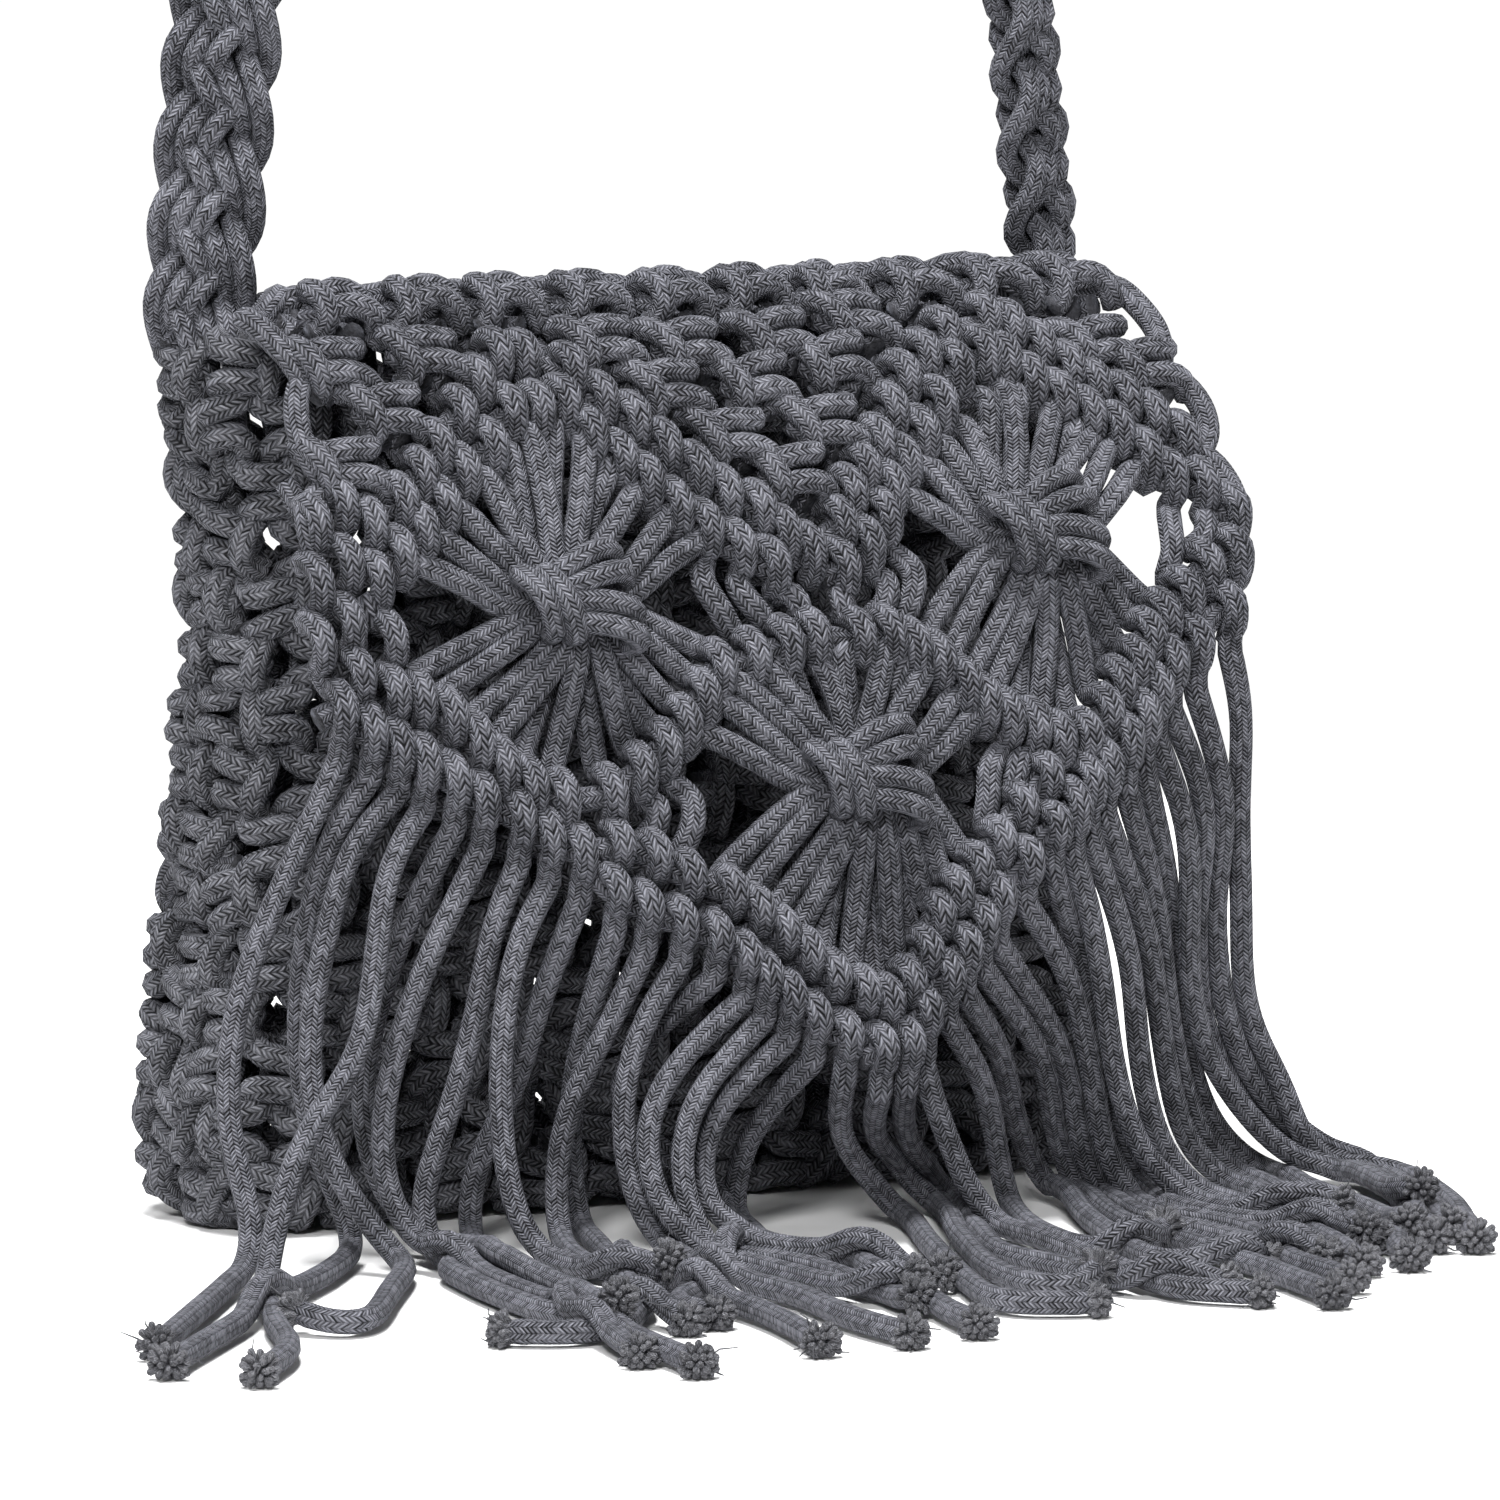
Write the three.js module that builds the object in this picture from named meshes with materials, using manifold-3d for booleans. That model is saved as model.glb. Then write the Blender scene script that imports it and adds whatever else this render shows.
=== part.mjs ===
// A knotted cord shoulder bag, in millimetres with +Z up. The origin is under the top of the
// strap's arch, where a hook, hand or shoulder holds it. Front is -Y. Heights are measured
// from the underside of the base, which is level with the surface that the fringe trails on.
import * as THREE from 'three';
import { mergeVertices } from 'three/addons/utils/BufferGeometryUtils.js';
import loadManifold from 'manifold-3d';

// Cord and knotted walls
const cordThickness = 6;
const wall = 9;
const clearance = 0.3;

// Body
const bodyWidth = 240;
const bodyDepth = 62;
const rimHeight = 203;
const cornerRadius = 17;
const baseWall = 9;

// Flap over the mouth, with a pointed lower edge
const flapWidth = 238;
const crestRise = 11;
const crestForward = 27;
const flapLeftDrop = 94;
const flapRightDrop = 70;
const flapTipDrop = 173;
const flapStandOff = 86;
const flapShift = 7;
const borderDepth = 9;

// Flowers tied in the flap
const flowerWidth = 74;
const flowerHeight = 80;
const flowerKnotWidth = 26;
const flowerKnotHeight = 17;
const flowerKnotDepth = 17;
const bundleWidth = 15;

// Fringe
const lockWidth = 11;
const fringeReach = 237;

// Strap, a flat braid in one loop
const strapWidth = 27;
const strapThickness = 14;
const strapRise = 540;
const strapRootBack = -2;
const strapLobe = 3;
const braidPitch = 18.5;
const strapRootTurn = 50;
const strapRootRoom = 0.75;

// Net gaps
const netPitch = 37;
const netRowPitch = 27;
const netGapWidth = 7;
const netGapHeight = 11;

// Outline of the body from base to rim, as shares of rim height, half width and half depth
const bodyProfile = [
  { height: 0.0, width: 0.965, depth: 0.86 },
  { height: 0.1, width: 1.0, depth: 1.0 },
  { height: 0.4, width: 0.965, depth: 0.86 },
  { height: 0.75, width: 0.94, depth: 0.68 },
  { height: 1.0, width: 1.0, depth: 0.63 },
];

// Half of the strap's loop, as shares of the half span between its roots and of its rise
const strapProfile = [
  { height: 0.0, width: 1.0 },
  { height: 0.22, width: 0.885 },
  { height: 0.46, width: 0.76 },
  { height: 0.7, width: 0.64 },
  { height: 0.86, width: 0.54 },
  { height: 0.95, width: 0.4 },
  { height: 0.99, width: 0.2 },
];

// Flowers, across as shares of the flap's half width, height as shares of the crest height
const flowers = [
  { name: 'left', across: -0.492, height: 0.688 },
  { name: 'right', across: 0.529, height: 0.738 },
  { name: 'low', across: 0.025, height: 0.494 },
];

const crestHeight = rimHeight + crestRise;

// Gaps between a flower's fanned cords, in degrees up from its right side, on both sides
const fanGaps = [
  { from: -5, to: 12 },
  { from: 26, to: 47 },
  { from: -29, to: -15 },
  { from: -55, to: -40 },
  { from: -76, to: -66 },
];

// Other gaps in the flap: across and width as shares of its half width, height and depth
// as shares of the crest height
const flapGaps = [
  { across: 0.955, height: 0.86, width: 0.05, depth: 0.05 },
  { across: 0.955, height: 0.775, width: 0.05, depth: 0.06 },
  { across: 0.955, height: 0.68, width: 0.03, depth: 0.07 },
  { across: -0.95, height: 0.83, width: 0.04, depth: 0.04 },
  { across: -0.12, height: 0.885, width: 0.05, depth: 0.045 },
  { across: 0.09, height: 0.885, width: 0.05, depth: 0.045 },
  { across: -0.015, height: 0.82, width: 0.05, depth: 0.045 },
  { across: 0.0, height: 0.715, width: 0.05, depth: 0.07 },
];

// Locks of the fringe from the left side to the right: start along the flap's half width,
// landing and tip across in half body widths and forward of the body in fringe reaches
const fringeLocks = [
  { start: -0.965, landX: -1.03, landY: 0.07, tipX: -1.96, tipY: 0.67 },
  { start: -0.86, landX: -0.98, landY: 0.1, tipX: -1.9, tipY: 0.81 },
  { start: -0.75, landX: -0.89, landY: 0.12, tipX: -1.49, tipY: 0.55 },
  { start: -0.64, landX: -0.78, landY: 0.14, tipX: -1.21, tipY: 0.7 },
  { start: -0.53, landX: -0.66, landY: 0.16, tipX: -1.06, tipY: 0.83 },
  { start: -0.42, landX: -0.53, landY: 0.19, tipX: -0.96, tipY: 0.93 },
  { start: -0.31, landX: -0.38, landY: 0.22, tipX: -0.72, tipY: 0.87 },
  { start: -0.2, landX: -0.22, landY: 0.25, tipX: -0.43, tipY: 0.91 },
  { start: -0.08, landX: -0.05, landY: 0.28, tipX: -0.21, tipY: 0.7 },
  { start: 0.08, landX: 0.13, landY: 0.3, tipX: 0.02, tipY: 0.83 },
  { start: 0.19, landX: 0.28, landY: 0.3, tipX: 0.36, tipY: 0.8 },
  { start: 0.3, landX: 0.42, landY: 0.3, tipX: 0.52, tipY: 0.87 },
  { start: 0.41, landX: 0.55, landY: 0.28, tipX: 0.64, tipY: 0.66 },
  { start: 0.52, landX: 0.67, landY: 0.27, tipX: 0.6, tipY: 0.5 },
  { start: 0.63, landX: 0.79, landY: 0.26, tipX: 0.85, tipY: 0.71 },
  { start: 0.74, landX: 0.91, landY: 0.25, tipX: 0.99, tipY: 0.62 },
  { start: 0.85, landX: 1.03, landY: 0.24, tipX: 1.14, tipY: 0.52 },
  { start: 0.95, landX: 1.12, landY: 0.22, tipX: 1.03, tipY: 0.45 },
];

const floorZ = -(rimHeight + clearance + strapRise);
const wasm = await loadManifold();
wasm.setup();

// Turns a closed three.js geometry into a solid that can be joined and cut
function toSolid(geometry) {
  const bare = geometry.clone();
  bare.deleteAttribute('normal');
  bare.deleteAttribute('uv');
  const merged = mergeVertices(bare, 1e-4);
  const vertProperties = Float32Array.from(merged.attributes.position.array);
  const triVerts = Uint32Array.from(merged.index.array);
  return new wasm.Manifold(new wasm.Mesh({ numProp: 3, vertProperties, triVerts }));
}

function toGeometry(solid) {
  const mesh = solid.getMesh();
  const geometry = new THREE.BufferGeometry();
  geometry.setAttribute('position', new THREE.BufferAttribute(mesh.vertProperties, 3));
  geometry.setIndex(new THREE.BufferAttribute(mesh.triVerts, 1));
  geometry.computeVertexNormals();
  return geometry;
}

// Moves every vertex of a geometry through a function of its place
function bend(geometry, place) {
  const position = geometry.attributes.position;
  const vertex = new THREE.Vector3();
  for (let i = 0; i < position.count; i += 1) {
    vertex.fromBufferAttribute(position, i);
    const moved = place(vertex.x, vertex.y, vertex.z);
    position.setXYZ(i, moved.x, moved.y, moved.z);
  }
  return geometry;
}

// Reads a column of a table of sections, as a smooth curve through its rows
function readTable(table, column, height) {
  const last = table.length - 1;
  let row = 0;
  while (row < last - 1 && height > table[row + 1].height) row += 1;
  const slope = (i) => {
    const low = table[Math.max(i - 1, 0)];
    const high = table[Math.min(i + 1, last)];
    return (high[column] - low[column]) / (high.height - low.height);
  };
  const span = table[row + 1].height - table[row].height;
  const t = THREE.MathUtils.clamp((height - table[row].height) / span, 0, 1);
  const start = table[row][column];
  const end = table[row + 1][column];
  const swing = t * (1 - t) * (slope(row) * span * (1 - t) - slope(row + 1) * span * t);
  return start + (end - start) * t * t * (3 - 2 * t) + swing;
}

// Body walls: each is one side of a rounded rectangle that changes with height, and turns
// half of each corner. A side is found from the distance along it and the depth under its face
const sides = {
  front: { turn: 0, along: 'width', out: 'depth' },
  right: { turn: 1, along: 'depth', out: 'width' },
  back: { turn: 2, along: 'width', out: 'depth' },
  left: { turn: 3, along: 'depth', out: 'width' },
};
const bodySize = { width: bodyWidth, depth: bodyDepth };

function halfSize(column, height) {
  return (bodySize[column] / 2) * readTable(bodyProfile, column, height / rimHeight);
}

function wallPoint(side, share, height, depth) {
  const along = halfSize(side.along, height);
  const out = halfSize(side.out, height);
  const radius = Math.min(cornerRadius, halfSize('depth', height) * 0.8);
  const straight = along - radius;
  const cornerHalf = (Math.PI / 4) * radius - clearance;
  const reach = share * (straight + cornerHalf);
  const past = Math.max(Math.abs(reach) - straight, 0) / radius;
  const end = Math.sign(reach);
  const lateral = past > 0 ? end * (straight + (radius - depth) * Math.sin(past)) : reach;
  const outward = out - radius + (radius - depth) * Math.cos(past);
  const point = new THREE.Vector3(lateral, -outward, height + floorZ);
  return point.applyAxisAngle(new THREE.Vector3(0, 0, 1), (side.turn * Math.PI) / 2);
}

// A diamond gap that runs through a wall, in the wall's own flat measures
function gapPrism(width, height, through) {
  const prism = new THREE.CylinderGeometry(1, 1, 1, 4);
  prism.rotateX(Math.PI / 2);
  prism.scale(width / 2, height / 2, through);
  return prism;
}

function bodyWall(side, columns) {
  const low = baseWall + clearance;
  const block = new THREE.BoxGeometry(2, 1, 1, columns, 5, 1);
  bend(block, (x, y, z) => wallPoint(side, x, low + (rimHeight - low) * (y + 0.5), wall * (0.5 - z)));
  const length = 2 * halfSize(side.along, rimHeight / 2);
  const count = Math.max(Math.round((length - netPitch / 2) / netPitch), 1);
  const rows = Math.floor((rimHeight - baseWall) / netRowPitch) - 1;
  let solid = toSolid(block);
  for (let row = 0; row < rows; row += 1) {
    const shift = row % 2 === 0 ? 0.25 : -0.25;
    for (let i = 0; i < count; i += 1) {
      const share = (2 * netPitch * (i - (count - 1) / 2 + shift)) / length;
      const height = baseWall + netRowPitch * (row + 1);
      const gap = bend(gapPrism(netGapWidth, netGapHeight, 2 * wall), (x, y, z) =>
        wallPoint(side, share + (2 * x) / length, height + y, wall / 2 - z));
      solid = solid.subtract(toSolid(gap));
    }
  }
  return toGeometry(solid);
}

// Base: a flat plate with the body's rounded outline
function base() {
  const halfWidth = halfSize('width', 0);
  const halfDepth = halfSize('depth', 0);
  const shape = new THREE.Shape();
  shape.absarc(halfWidth - cornerRadius, halfDepth - cornerRadius, cornerRadius, 0, Math.PI / 2);
  shape.absarc(cornerRadius - halfWidth, halfDepth - cornerRadius, cornerRadius, Math.PI / 2, Math.PI);
  shape.absarc(cornerRadius - halfWidth, cornerRadius - halfDepth, cornerRadius, Math.PI, Math.PI * 1.5);
  shape.absarc(halfWidth - cornerRadius, cornerRadius - halfDepth, cornerRadius, Math.PI * 1.5, Math.PI * 2);
  const plate = new THREE.ExtrudeGeometry(shape, { depth: baseWall, bevelEnabled: false, curveSegments: 4 });
  plate.translate(0, 0, floorZ);
  return plate;
}

// Flap: an arch from the back rim to the crest, then a sheet that stands off the front.
// Its middle surface is found from a share of its half width and a height
const flapSeamBack = halfSize('depth', rimHeight) - wall / 2;
const strapRootAcross = halfSize('width', rimHeight) - wall / 2;
const flapSeamHalf = strapRootAcross - strapRootRoom * strapWidth - clearance;
const archShare = 0.3;

function flapFront(across, height) {
  const drop = Math.max(crestHeight - height, 0) / crestHeight;
  const sway = 1 + 0.25 * across - 0.1 * across * across;
  const forward = flapStandOff * sway * Math.pow(drop / (flapTipDrop / crestHeight), 0.62);
  const shift = flapShift * Math.min((2 * drop * crestHeight) / flapTipDrop, 1);
  const x = shift + (across * flapWidth) / 2;
  return new THREE.Vector3(x, -crestForward - forward, height + floorZ);
}

function flapArch(across, share) {
  const turn = (share * Math.PI) / 2;
  const seam = rimHeight + clearance;
  const y = -crestForward + (flapSeamBack + crestForward) * Math.cos(turn);
  const widening = Math.pow(share, 6);
  const half = THREE.MathUtils.lerp(flapSeamHalf, flapWidth / 2, widening);
  return new THREE.Vector3(across * half, y, seam + (crestHeight - seam) * Math.sin(turn) + floorZ);
}

function flapEdgeHeight(across) {
  const sideDrop = across < 0 ? flapLeftDrop : flapRightDrop;
  return crestHeight - THREE.MathUtils.lerp(flapTipDrop, sideDrop, Math.abs(across));
}

// Places a point at a depth in front of a middle surface of two parameters
function offsetFrom(surface, a, b, depth) {
  const step = 1e-3;
  const alongA = surface(a + step, b).sub(surface(a - step, b));
  const alongB = surface(a, b + step).sub(surface(a, b - step));
  const normal = alongA.cross(alongB).normalize();
  return surface(a, b).addScaledVector(normal, depth);
}

function flapMiddle(across, share) {
  if (share < archShare) return flapArch(across, Math.max(share, 0) / archShare);
  const down = Math.pow((share - archShare) / (1 - archShare), 1.5);
  return flapFront(across, THREE.MathUtils.lerp(crestHeight, flapEdgeHeight(across) + borderDepth, down));
}

// The front of the flap, flat: x across and y up in millimetres, z out of its face
function ontoFlap(x, y, z) {
  return offsetFrom((a, b) => flapFront(a, b), (2 * x) / flapWidth, y, z);
}

function fanGap(flower, gap, mirror) {
  const halfKnot = flowerKnotWidth / 2;
  const corner = (degrees, reach) => {
    const angle = THREE.MathUtils.degToRad(degrees);
    const diamond = Math.abs(Math.cos(angle)) * 2 / flowerWidth + Math.abs(Math.sin(angle)) * 2 / flowerHeight;
    const inner = Math.hypot(halfKnot * Math.cos(angle), flowerKnotHeight * 0.62 * Math.sin(angle));
    const radius = reach > 0 ? 1 / diamond : inner + cordThickness / 2;
    return new THREE.Vector2(mirror * radius * Math.cos(angle), radius * Math.sin(angle));
  };
  const spread = (gap.to - gap.from) / 5;
  const corners = [
    corner(gap.from + spread, 0),
    corner(gap.from, 1),
    corner(gap.to, 1),
    corner(gap.to - spread, 0),
  ];
  const prism = new THREE.ExtrudeGeometry(new THREE.Shape(corners), { depth: 4 * wall, bevelEnabled: false });
  prism.translate((flower.across * flapWidth) / 2, flower.height * crestHeight, -2 * wall);
  return bend(prism, ontoFlap);
}

// A flower's knot is a pillow round the bundle of cords that it holds. Grown by a clearance
// it is also the slot that it takes in the flap
function knotBlock(flower, grow) {
  const block = new THREE.CylinderGeometry(1, 1, 1, 10, 2);
  return bend(block, (x, y, z) => {
    const round = y === 0 ? 1 : 0.72;
    return ontoFlap(
      (flower.across * flapWidth) / 2 + x * round * (flowerKnotWidth / 2 + grow),
      flower.height * crestHeight + y * (flowerKnotHeight + 2 * grow),
      z * round * (flowerKnotDepth / 2 + grow),
    );
  });
}

function bundle(flower, grow) {
  const block = new THREE.CylinderGeometry(1, 1, 1, 8, 3);
  const centre = flower.height * crestHeight;
  return bend(block, (x, y, z) => ontoFlap(
    (flower.across * flapWidth) / 2 + x * (bundleWidth / 2 + grow),
    centre + y * 1.5 * flowerKnotHeight,
    z * (wall / 2 + grow) * 0.9,
  ));
}

function flap() {
  const block = new THREE.BoxGeometry(2, 1, 1, 6, 10, 1);
  bend(block, (x, y, z) => offsetFrom(flapMiddle, x, 0.5 - y, -wall * z));
  let solid = toSolid(block);
  for (const flower of flowers) {
    for (const gap of fanGaps) {
      solid = solid.subtract(toSolid(fanGap(flower, gap, 1)));
      solid = solid.subtract(toSolid(fanGap(flower, gap, -1)));
    }
    solid = solid.subtract(toSolid(knotBlock(flower, clearance)));
    solid = solid.add(toSolid(bundle(flower, 0)));
  }
  for (const gap of flapGaps) {
    const prism = gapPrism(gap.width * flapWidth, gap.depth * crestHeight, 3 * wall);
    prism.translate((gap.across * flapWidth) / 2, gap.height * crestHeight, 0);
    solid = solid.subtract(toSolid(bend(prism, ontoFlap)));
  }
  return toGeometry(solid);
}

function flowerKnot(flower) {
  const knot = toSolid(knotBlock(flower, 0));
  return toGeometry(knot.subtract(toSolid(bundle(flower, clearance))));
}

// Fringe: the lower border of one half of the flap, and flat locks of two cords that hang
// from it and trail over the surface below
function lock(row) {
  const half = bodyWidth / 2;
  const floor = floorZ + cordThickness / 2 + clearance;
  const forward = (share) => -bodyDepth / 2 - share * fringeReach;
  const start = flapFront(row.start, flapEdgeHeight(row.start) + borderDepth / 2);
  const land = new THREE.Vector3(row.landX * half, forward(row.landY), floor);
  const tip = new THREE.Vector3(row.tipX * half, forward(row.tipY), floor);
  const knee = land.clone().lerp(start, 0.35);
  knee.x = THREE.MathUtils.lerp(land.x, knee.x, 0.4);
  knee.y = THREE.MathUtils.lerp(land.y, knee.y, 0.4);
  const path = new THREE.CatmullRomCurve3([start, knee, land.lerp(tip, 0.12), tip], false, 'centripetal');
  const tube = new THREE.CylinderGeometry(1, 1, 1, 6, 8);
  return bend(tube, (x, y, z) => {
    const at = 0.5 - y;
    const tangent = path.getTangentAt(at);
    const level = new THREE.Vector3(tangent.y, -tangent.x, 0);
    const across = new THREE.Vector3(1, 0, 0).addScaledVector(tangent, -tangent.x).normalize();
    across.lerp(level.normalize().multiplyScalar(-1), at > 0.5 ? 1 : 0).normalize();
    const face = new THREE.Vector3().crossVectors(tangent, across);
    const point = path.getPointAt(at);
    point.z = Math.max(point.z, floor);
    return point.addScaledVector(across, (x * lockWidth) / 2).addScaledVector(face, (z * cordThickness) / 2);
  });
}

function fringe(side) {
  const border = new THREE.BoxGeometry(1, 1, 1, 9, 1, 1);
  const inner = (2 * clearance) / flapWidth;
  bend(border, (x, y, z) => {
    const across = side * THREE.MathUtils.lerp(inner, 1, 0.5 + side * x);
    const height = flapEdgeHeight(across) + (borderDepth - 1.5 * clearance) * (y + 0.5);
    return offsetFrom((a, b) => flapFront(a, b), across, height, wall * z);
  });
  let solid = toSolid(border);
  for (const row of fringeLocks) {
    if (Math.sign(row.start) === side) solid = solid.add(toSolid(lock(row)));
  }
  return toGeometry(solid);
}

// Strap: a band that leans in from the two roots, turns to face outward and goes over an arch.
// Each edge swells in turn, as the strands of a flat braid do
function strap() {
  const points = strapProfile.map((row) => new THREE.Vector3(
    -row.width * strapRootAcross, strapRootBack * (1 - row.height), row.height));
  const others = points.slice().reverse().map((point) => point.clone().multiply(new THREE.Vector3(-1, 1, 1)));
  const top = new THREE.Vector3(0, 0, 1);
  for (const point of [...points, top, ...others]) {
    point.z = point.z * (strapRise + strapThickness / 2) - strapRise;
  }
  const path = new THREE.CatmullRomCurve3([...points, top, ...others], false, 'centripetal');
  path.arcLengthDivisions = 1200;
  const steps = 2 * Math.round(path.getLength() / braidPitch);
  const band = new THREE.CylinderGeometry(1, 1, 1, 8, steps);
  return bend(band, (x, y, z) => {
    const at = y + 0.5;
    const point = path.getPointAt(at);
    const tangent = path.getTangentAt(at);
    const rise = THREE.MathUtils.clamp(1 + point.z / strapRise, 0, 1);
    const turn = THREE.MathUtils.degToRad(strapRootTurn) * (1 - THREE.MathUtils.smoothstep(rise, 0, 1));
    const outward = new THREE.Vector3(-tangent.z, 0, tangent.x).normalize();
    const face = outward.multiplyScalar(Math.cos(turn)).add(new THREE.Vector3(0, -Math.sin(turn), 0));
    face.addScaledVector(tangent, -face.dot(tangent)).normalize();
    const across = new THREE.Vector3().crossVectors(tangent, face);
    const swell = Math.round(at * steps) % 2 === 0 ? Math.sign(x) : -Math.sign(x);
    const half = strapWidth / 2 - strapLobe / 2 + (swell * strapLobe) / 2;
    point.addScaledVector(across, x * half).addScaledVector(face, (z * strapThickness) / 2);
    point.z = Math.max(point.z, -strapRise);
    return point;
  });
}

// The finished group: every piece has the same dyed cotton cord
const bag = new THREE.Group();

function addPiece(name, geometry, color) {
  const material = new THREE.MeshStandardMaterial({ color, roughness: 0.95, metalness: 0 });
  const mesh = new THREE.Mesh(geometry, material);
  mesh.name = name;
  bag.add(mesh);
}

const netColor = '#4a4c57';
const cordColor = '#565863';
addPiece('front_panel', bodyWall(sides.front, 6), netColor);
addPiece('back_panel', bodyWall(sides.back, 6), netColor);
addPiece('left_gusset', bodyWall(sides.left, 4), netColor);
addPiece('right_gusset', bodyWall(sides.right, 4), netColor);
addPiece('base', base(), netColor);
addPiece('flap', flap(), cordColor);
for (const flower of flowers) {
  addPiece(`flower_knot_${flower.name}`, flowerKnot(flower), cordColor);
}
addPiece('fringe_left', fringe(-1), cordColor);
addPiece('fringe_right', fringe(1), cordColor);
addPiece('strap', strap(), cordColor);

export default bag;
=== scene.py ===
import math

import bpy
import numpy as np
from mathutils import Matrix, Vector


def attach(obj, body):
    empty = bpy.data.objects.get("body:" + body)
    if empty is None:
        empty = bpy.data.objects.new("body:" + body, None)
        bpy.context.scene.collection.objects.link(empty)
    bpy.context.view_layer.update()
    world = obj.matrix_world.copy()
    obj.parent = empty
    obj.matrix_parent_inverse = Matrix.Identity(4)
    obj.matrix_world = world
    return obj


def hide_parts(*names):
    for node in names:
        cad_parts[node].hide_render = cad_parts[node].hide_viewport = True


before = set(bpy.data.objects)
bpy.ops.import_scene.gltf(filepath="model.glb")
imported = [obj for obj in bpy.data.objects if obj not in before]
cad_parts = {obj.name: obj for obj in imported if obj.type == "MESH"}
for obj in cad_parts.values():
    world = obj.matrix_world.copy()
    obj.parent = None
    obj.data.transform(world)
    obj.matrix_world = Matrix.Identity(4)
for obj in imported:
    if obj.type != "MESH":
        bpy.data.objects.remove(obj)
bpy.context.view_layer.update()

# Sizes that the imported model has
FLOOR = -743.3
RIM, CLEARANCE = 203.0, 0.3
SEAM = RIM + CLEARANCE
WALL = 9.0
HALF_WIDTH, HALF_DEPTH, CORNER = 120.0, 31.0, 17.0
STRAP_RISE, STRAP_THICKNESS, STRAP_WIDTH = 540.0, 14.0, 27.0
STRAP_ROOT = HALF_WIDTH - WALL / 2

# Half the thickness of a cord on the flap, in most nets, in the back's and the right side's net, in
# the strap, in a flower's tie and in the fringe
CORD, NET_CORD, FAR_CORD, STRAP_CORD, TIE_CORD, FRINGE_CORD = 3.0, 3.3, 3.55, 2.65, 2.75, 2.75
rng = np.random.default_rng(7)


# Camera: a long lens from the bag's left front, a little above it
def add_camera():
    turn, lift, away = math.radians(-30.0), math.radians(6.2), 2.75
    back = Vector((math.sin(turn) * math.cos(lift), -math.cos(turn) * math.cos(lift), math.sin(lift)))
    right = Vector((math.cos(turn), math.sin(turn), 0.0))
    up = back.cross(right)
    look = Vector((0.0336, 0.0, 0.1026 + FLOOR * 0.001))
    data = bpy.data.cameras.new("camera")
    data.lens = 277.2
    data.sensor_width = 36.0
    data.clip_end = 50.0
    camera = bpy.data.objects.new("camera", data)
    bpy.context.scene.collection.objects.link(camera)
    axes = Matrix((right, up, back)).transposed().to_4x4()
    axes.translation = look + back * away
    camera.matrix_world = axes
    bpy.context.scene.camera = camera


def curve(points, step):
    """A smooth path through points, with a place about every step."""
    p = np.asarray(points, float)
    p = np.vstack([2 * p[0] - p[1], p, 2 * p[-1] - p[-2]])
    gap = np.maximum(np.sqrt(np.linalg.norm(np.diff(p, axis=0), axis=1)), 1e-3)
    out = []
    for i in range(1, len(p) - 2):
        d0, d1, d2 = gap[i - 1], gap[i], gap[i + 1]
        a, b, c, d = p[i - 1 : i + 3]
        m1 = ((b - a) / d0 - (c - a) / (d0 + d1) + (c - b) / d1) * d1
        m2 = ((c - b) / d1 - (d - b) / (d1 + d2) + (d - c) / d2) * d1
        n = max(int(round(np.linalg.norm(c - b) / step)), 1)
        t = (np.arange(n) / n)[:, None]
        out.append(
            b * (2 * t**3 - 3 * t**2 + 1)
            + m1 * (t**3 - 2 * t**2 + t)
            + c * (3 * t**2 - 2 * t**3)
            + m2 * (t**3 - t**2)
        )
    out.append(p[-2:-1])
    return np.vstack(out)


def unit(v):
    return v / np.maximum(np.linalg.norm(v, axis=-1, keepdims=True), 1e-9)


def frames_along(path):
    """Directions across each of several paths that don't twist along it."""
    ahead = unit(np.gradient(path, axis=1))
    across = np.empty_like(path)
    start = np.cross(ahead[:, 0], [0.31, 0.22, 0.92])
    across[:, 0] = unit(start)
    for i in range(path.shape[1] - 1):
        v1 = path[:, i + 1] - path[:, i]
        c1 = np.maximum((v1 * v1).sum(-1, keepdims=True), 1e-9)
        r = across[:, i] - 2 / c1 * (v1 * across[:, i]).sum(-1, keepdims=True) * v1
        t = ahead[:, i] - 2 / c1 * (v1 * ahead[:, i]).sum(-1, keepdims=True) * v1
        v2 = ahead[:, i + 1] - t
        c2 = np.maximum((v2 * v2).sum(-1, keepdims=True), 1e-9)
        across[:, i + 1] = unit(r - 2 / c2 * (v2 * r).sum(-1, keepdims=True) * v2)
    return ahead, across, np.cross(ahead, across)


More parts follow.
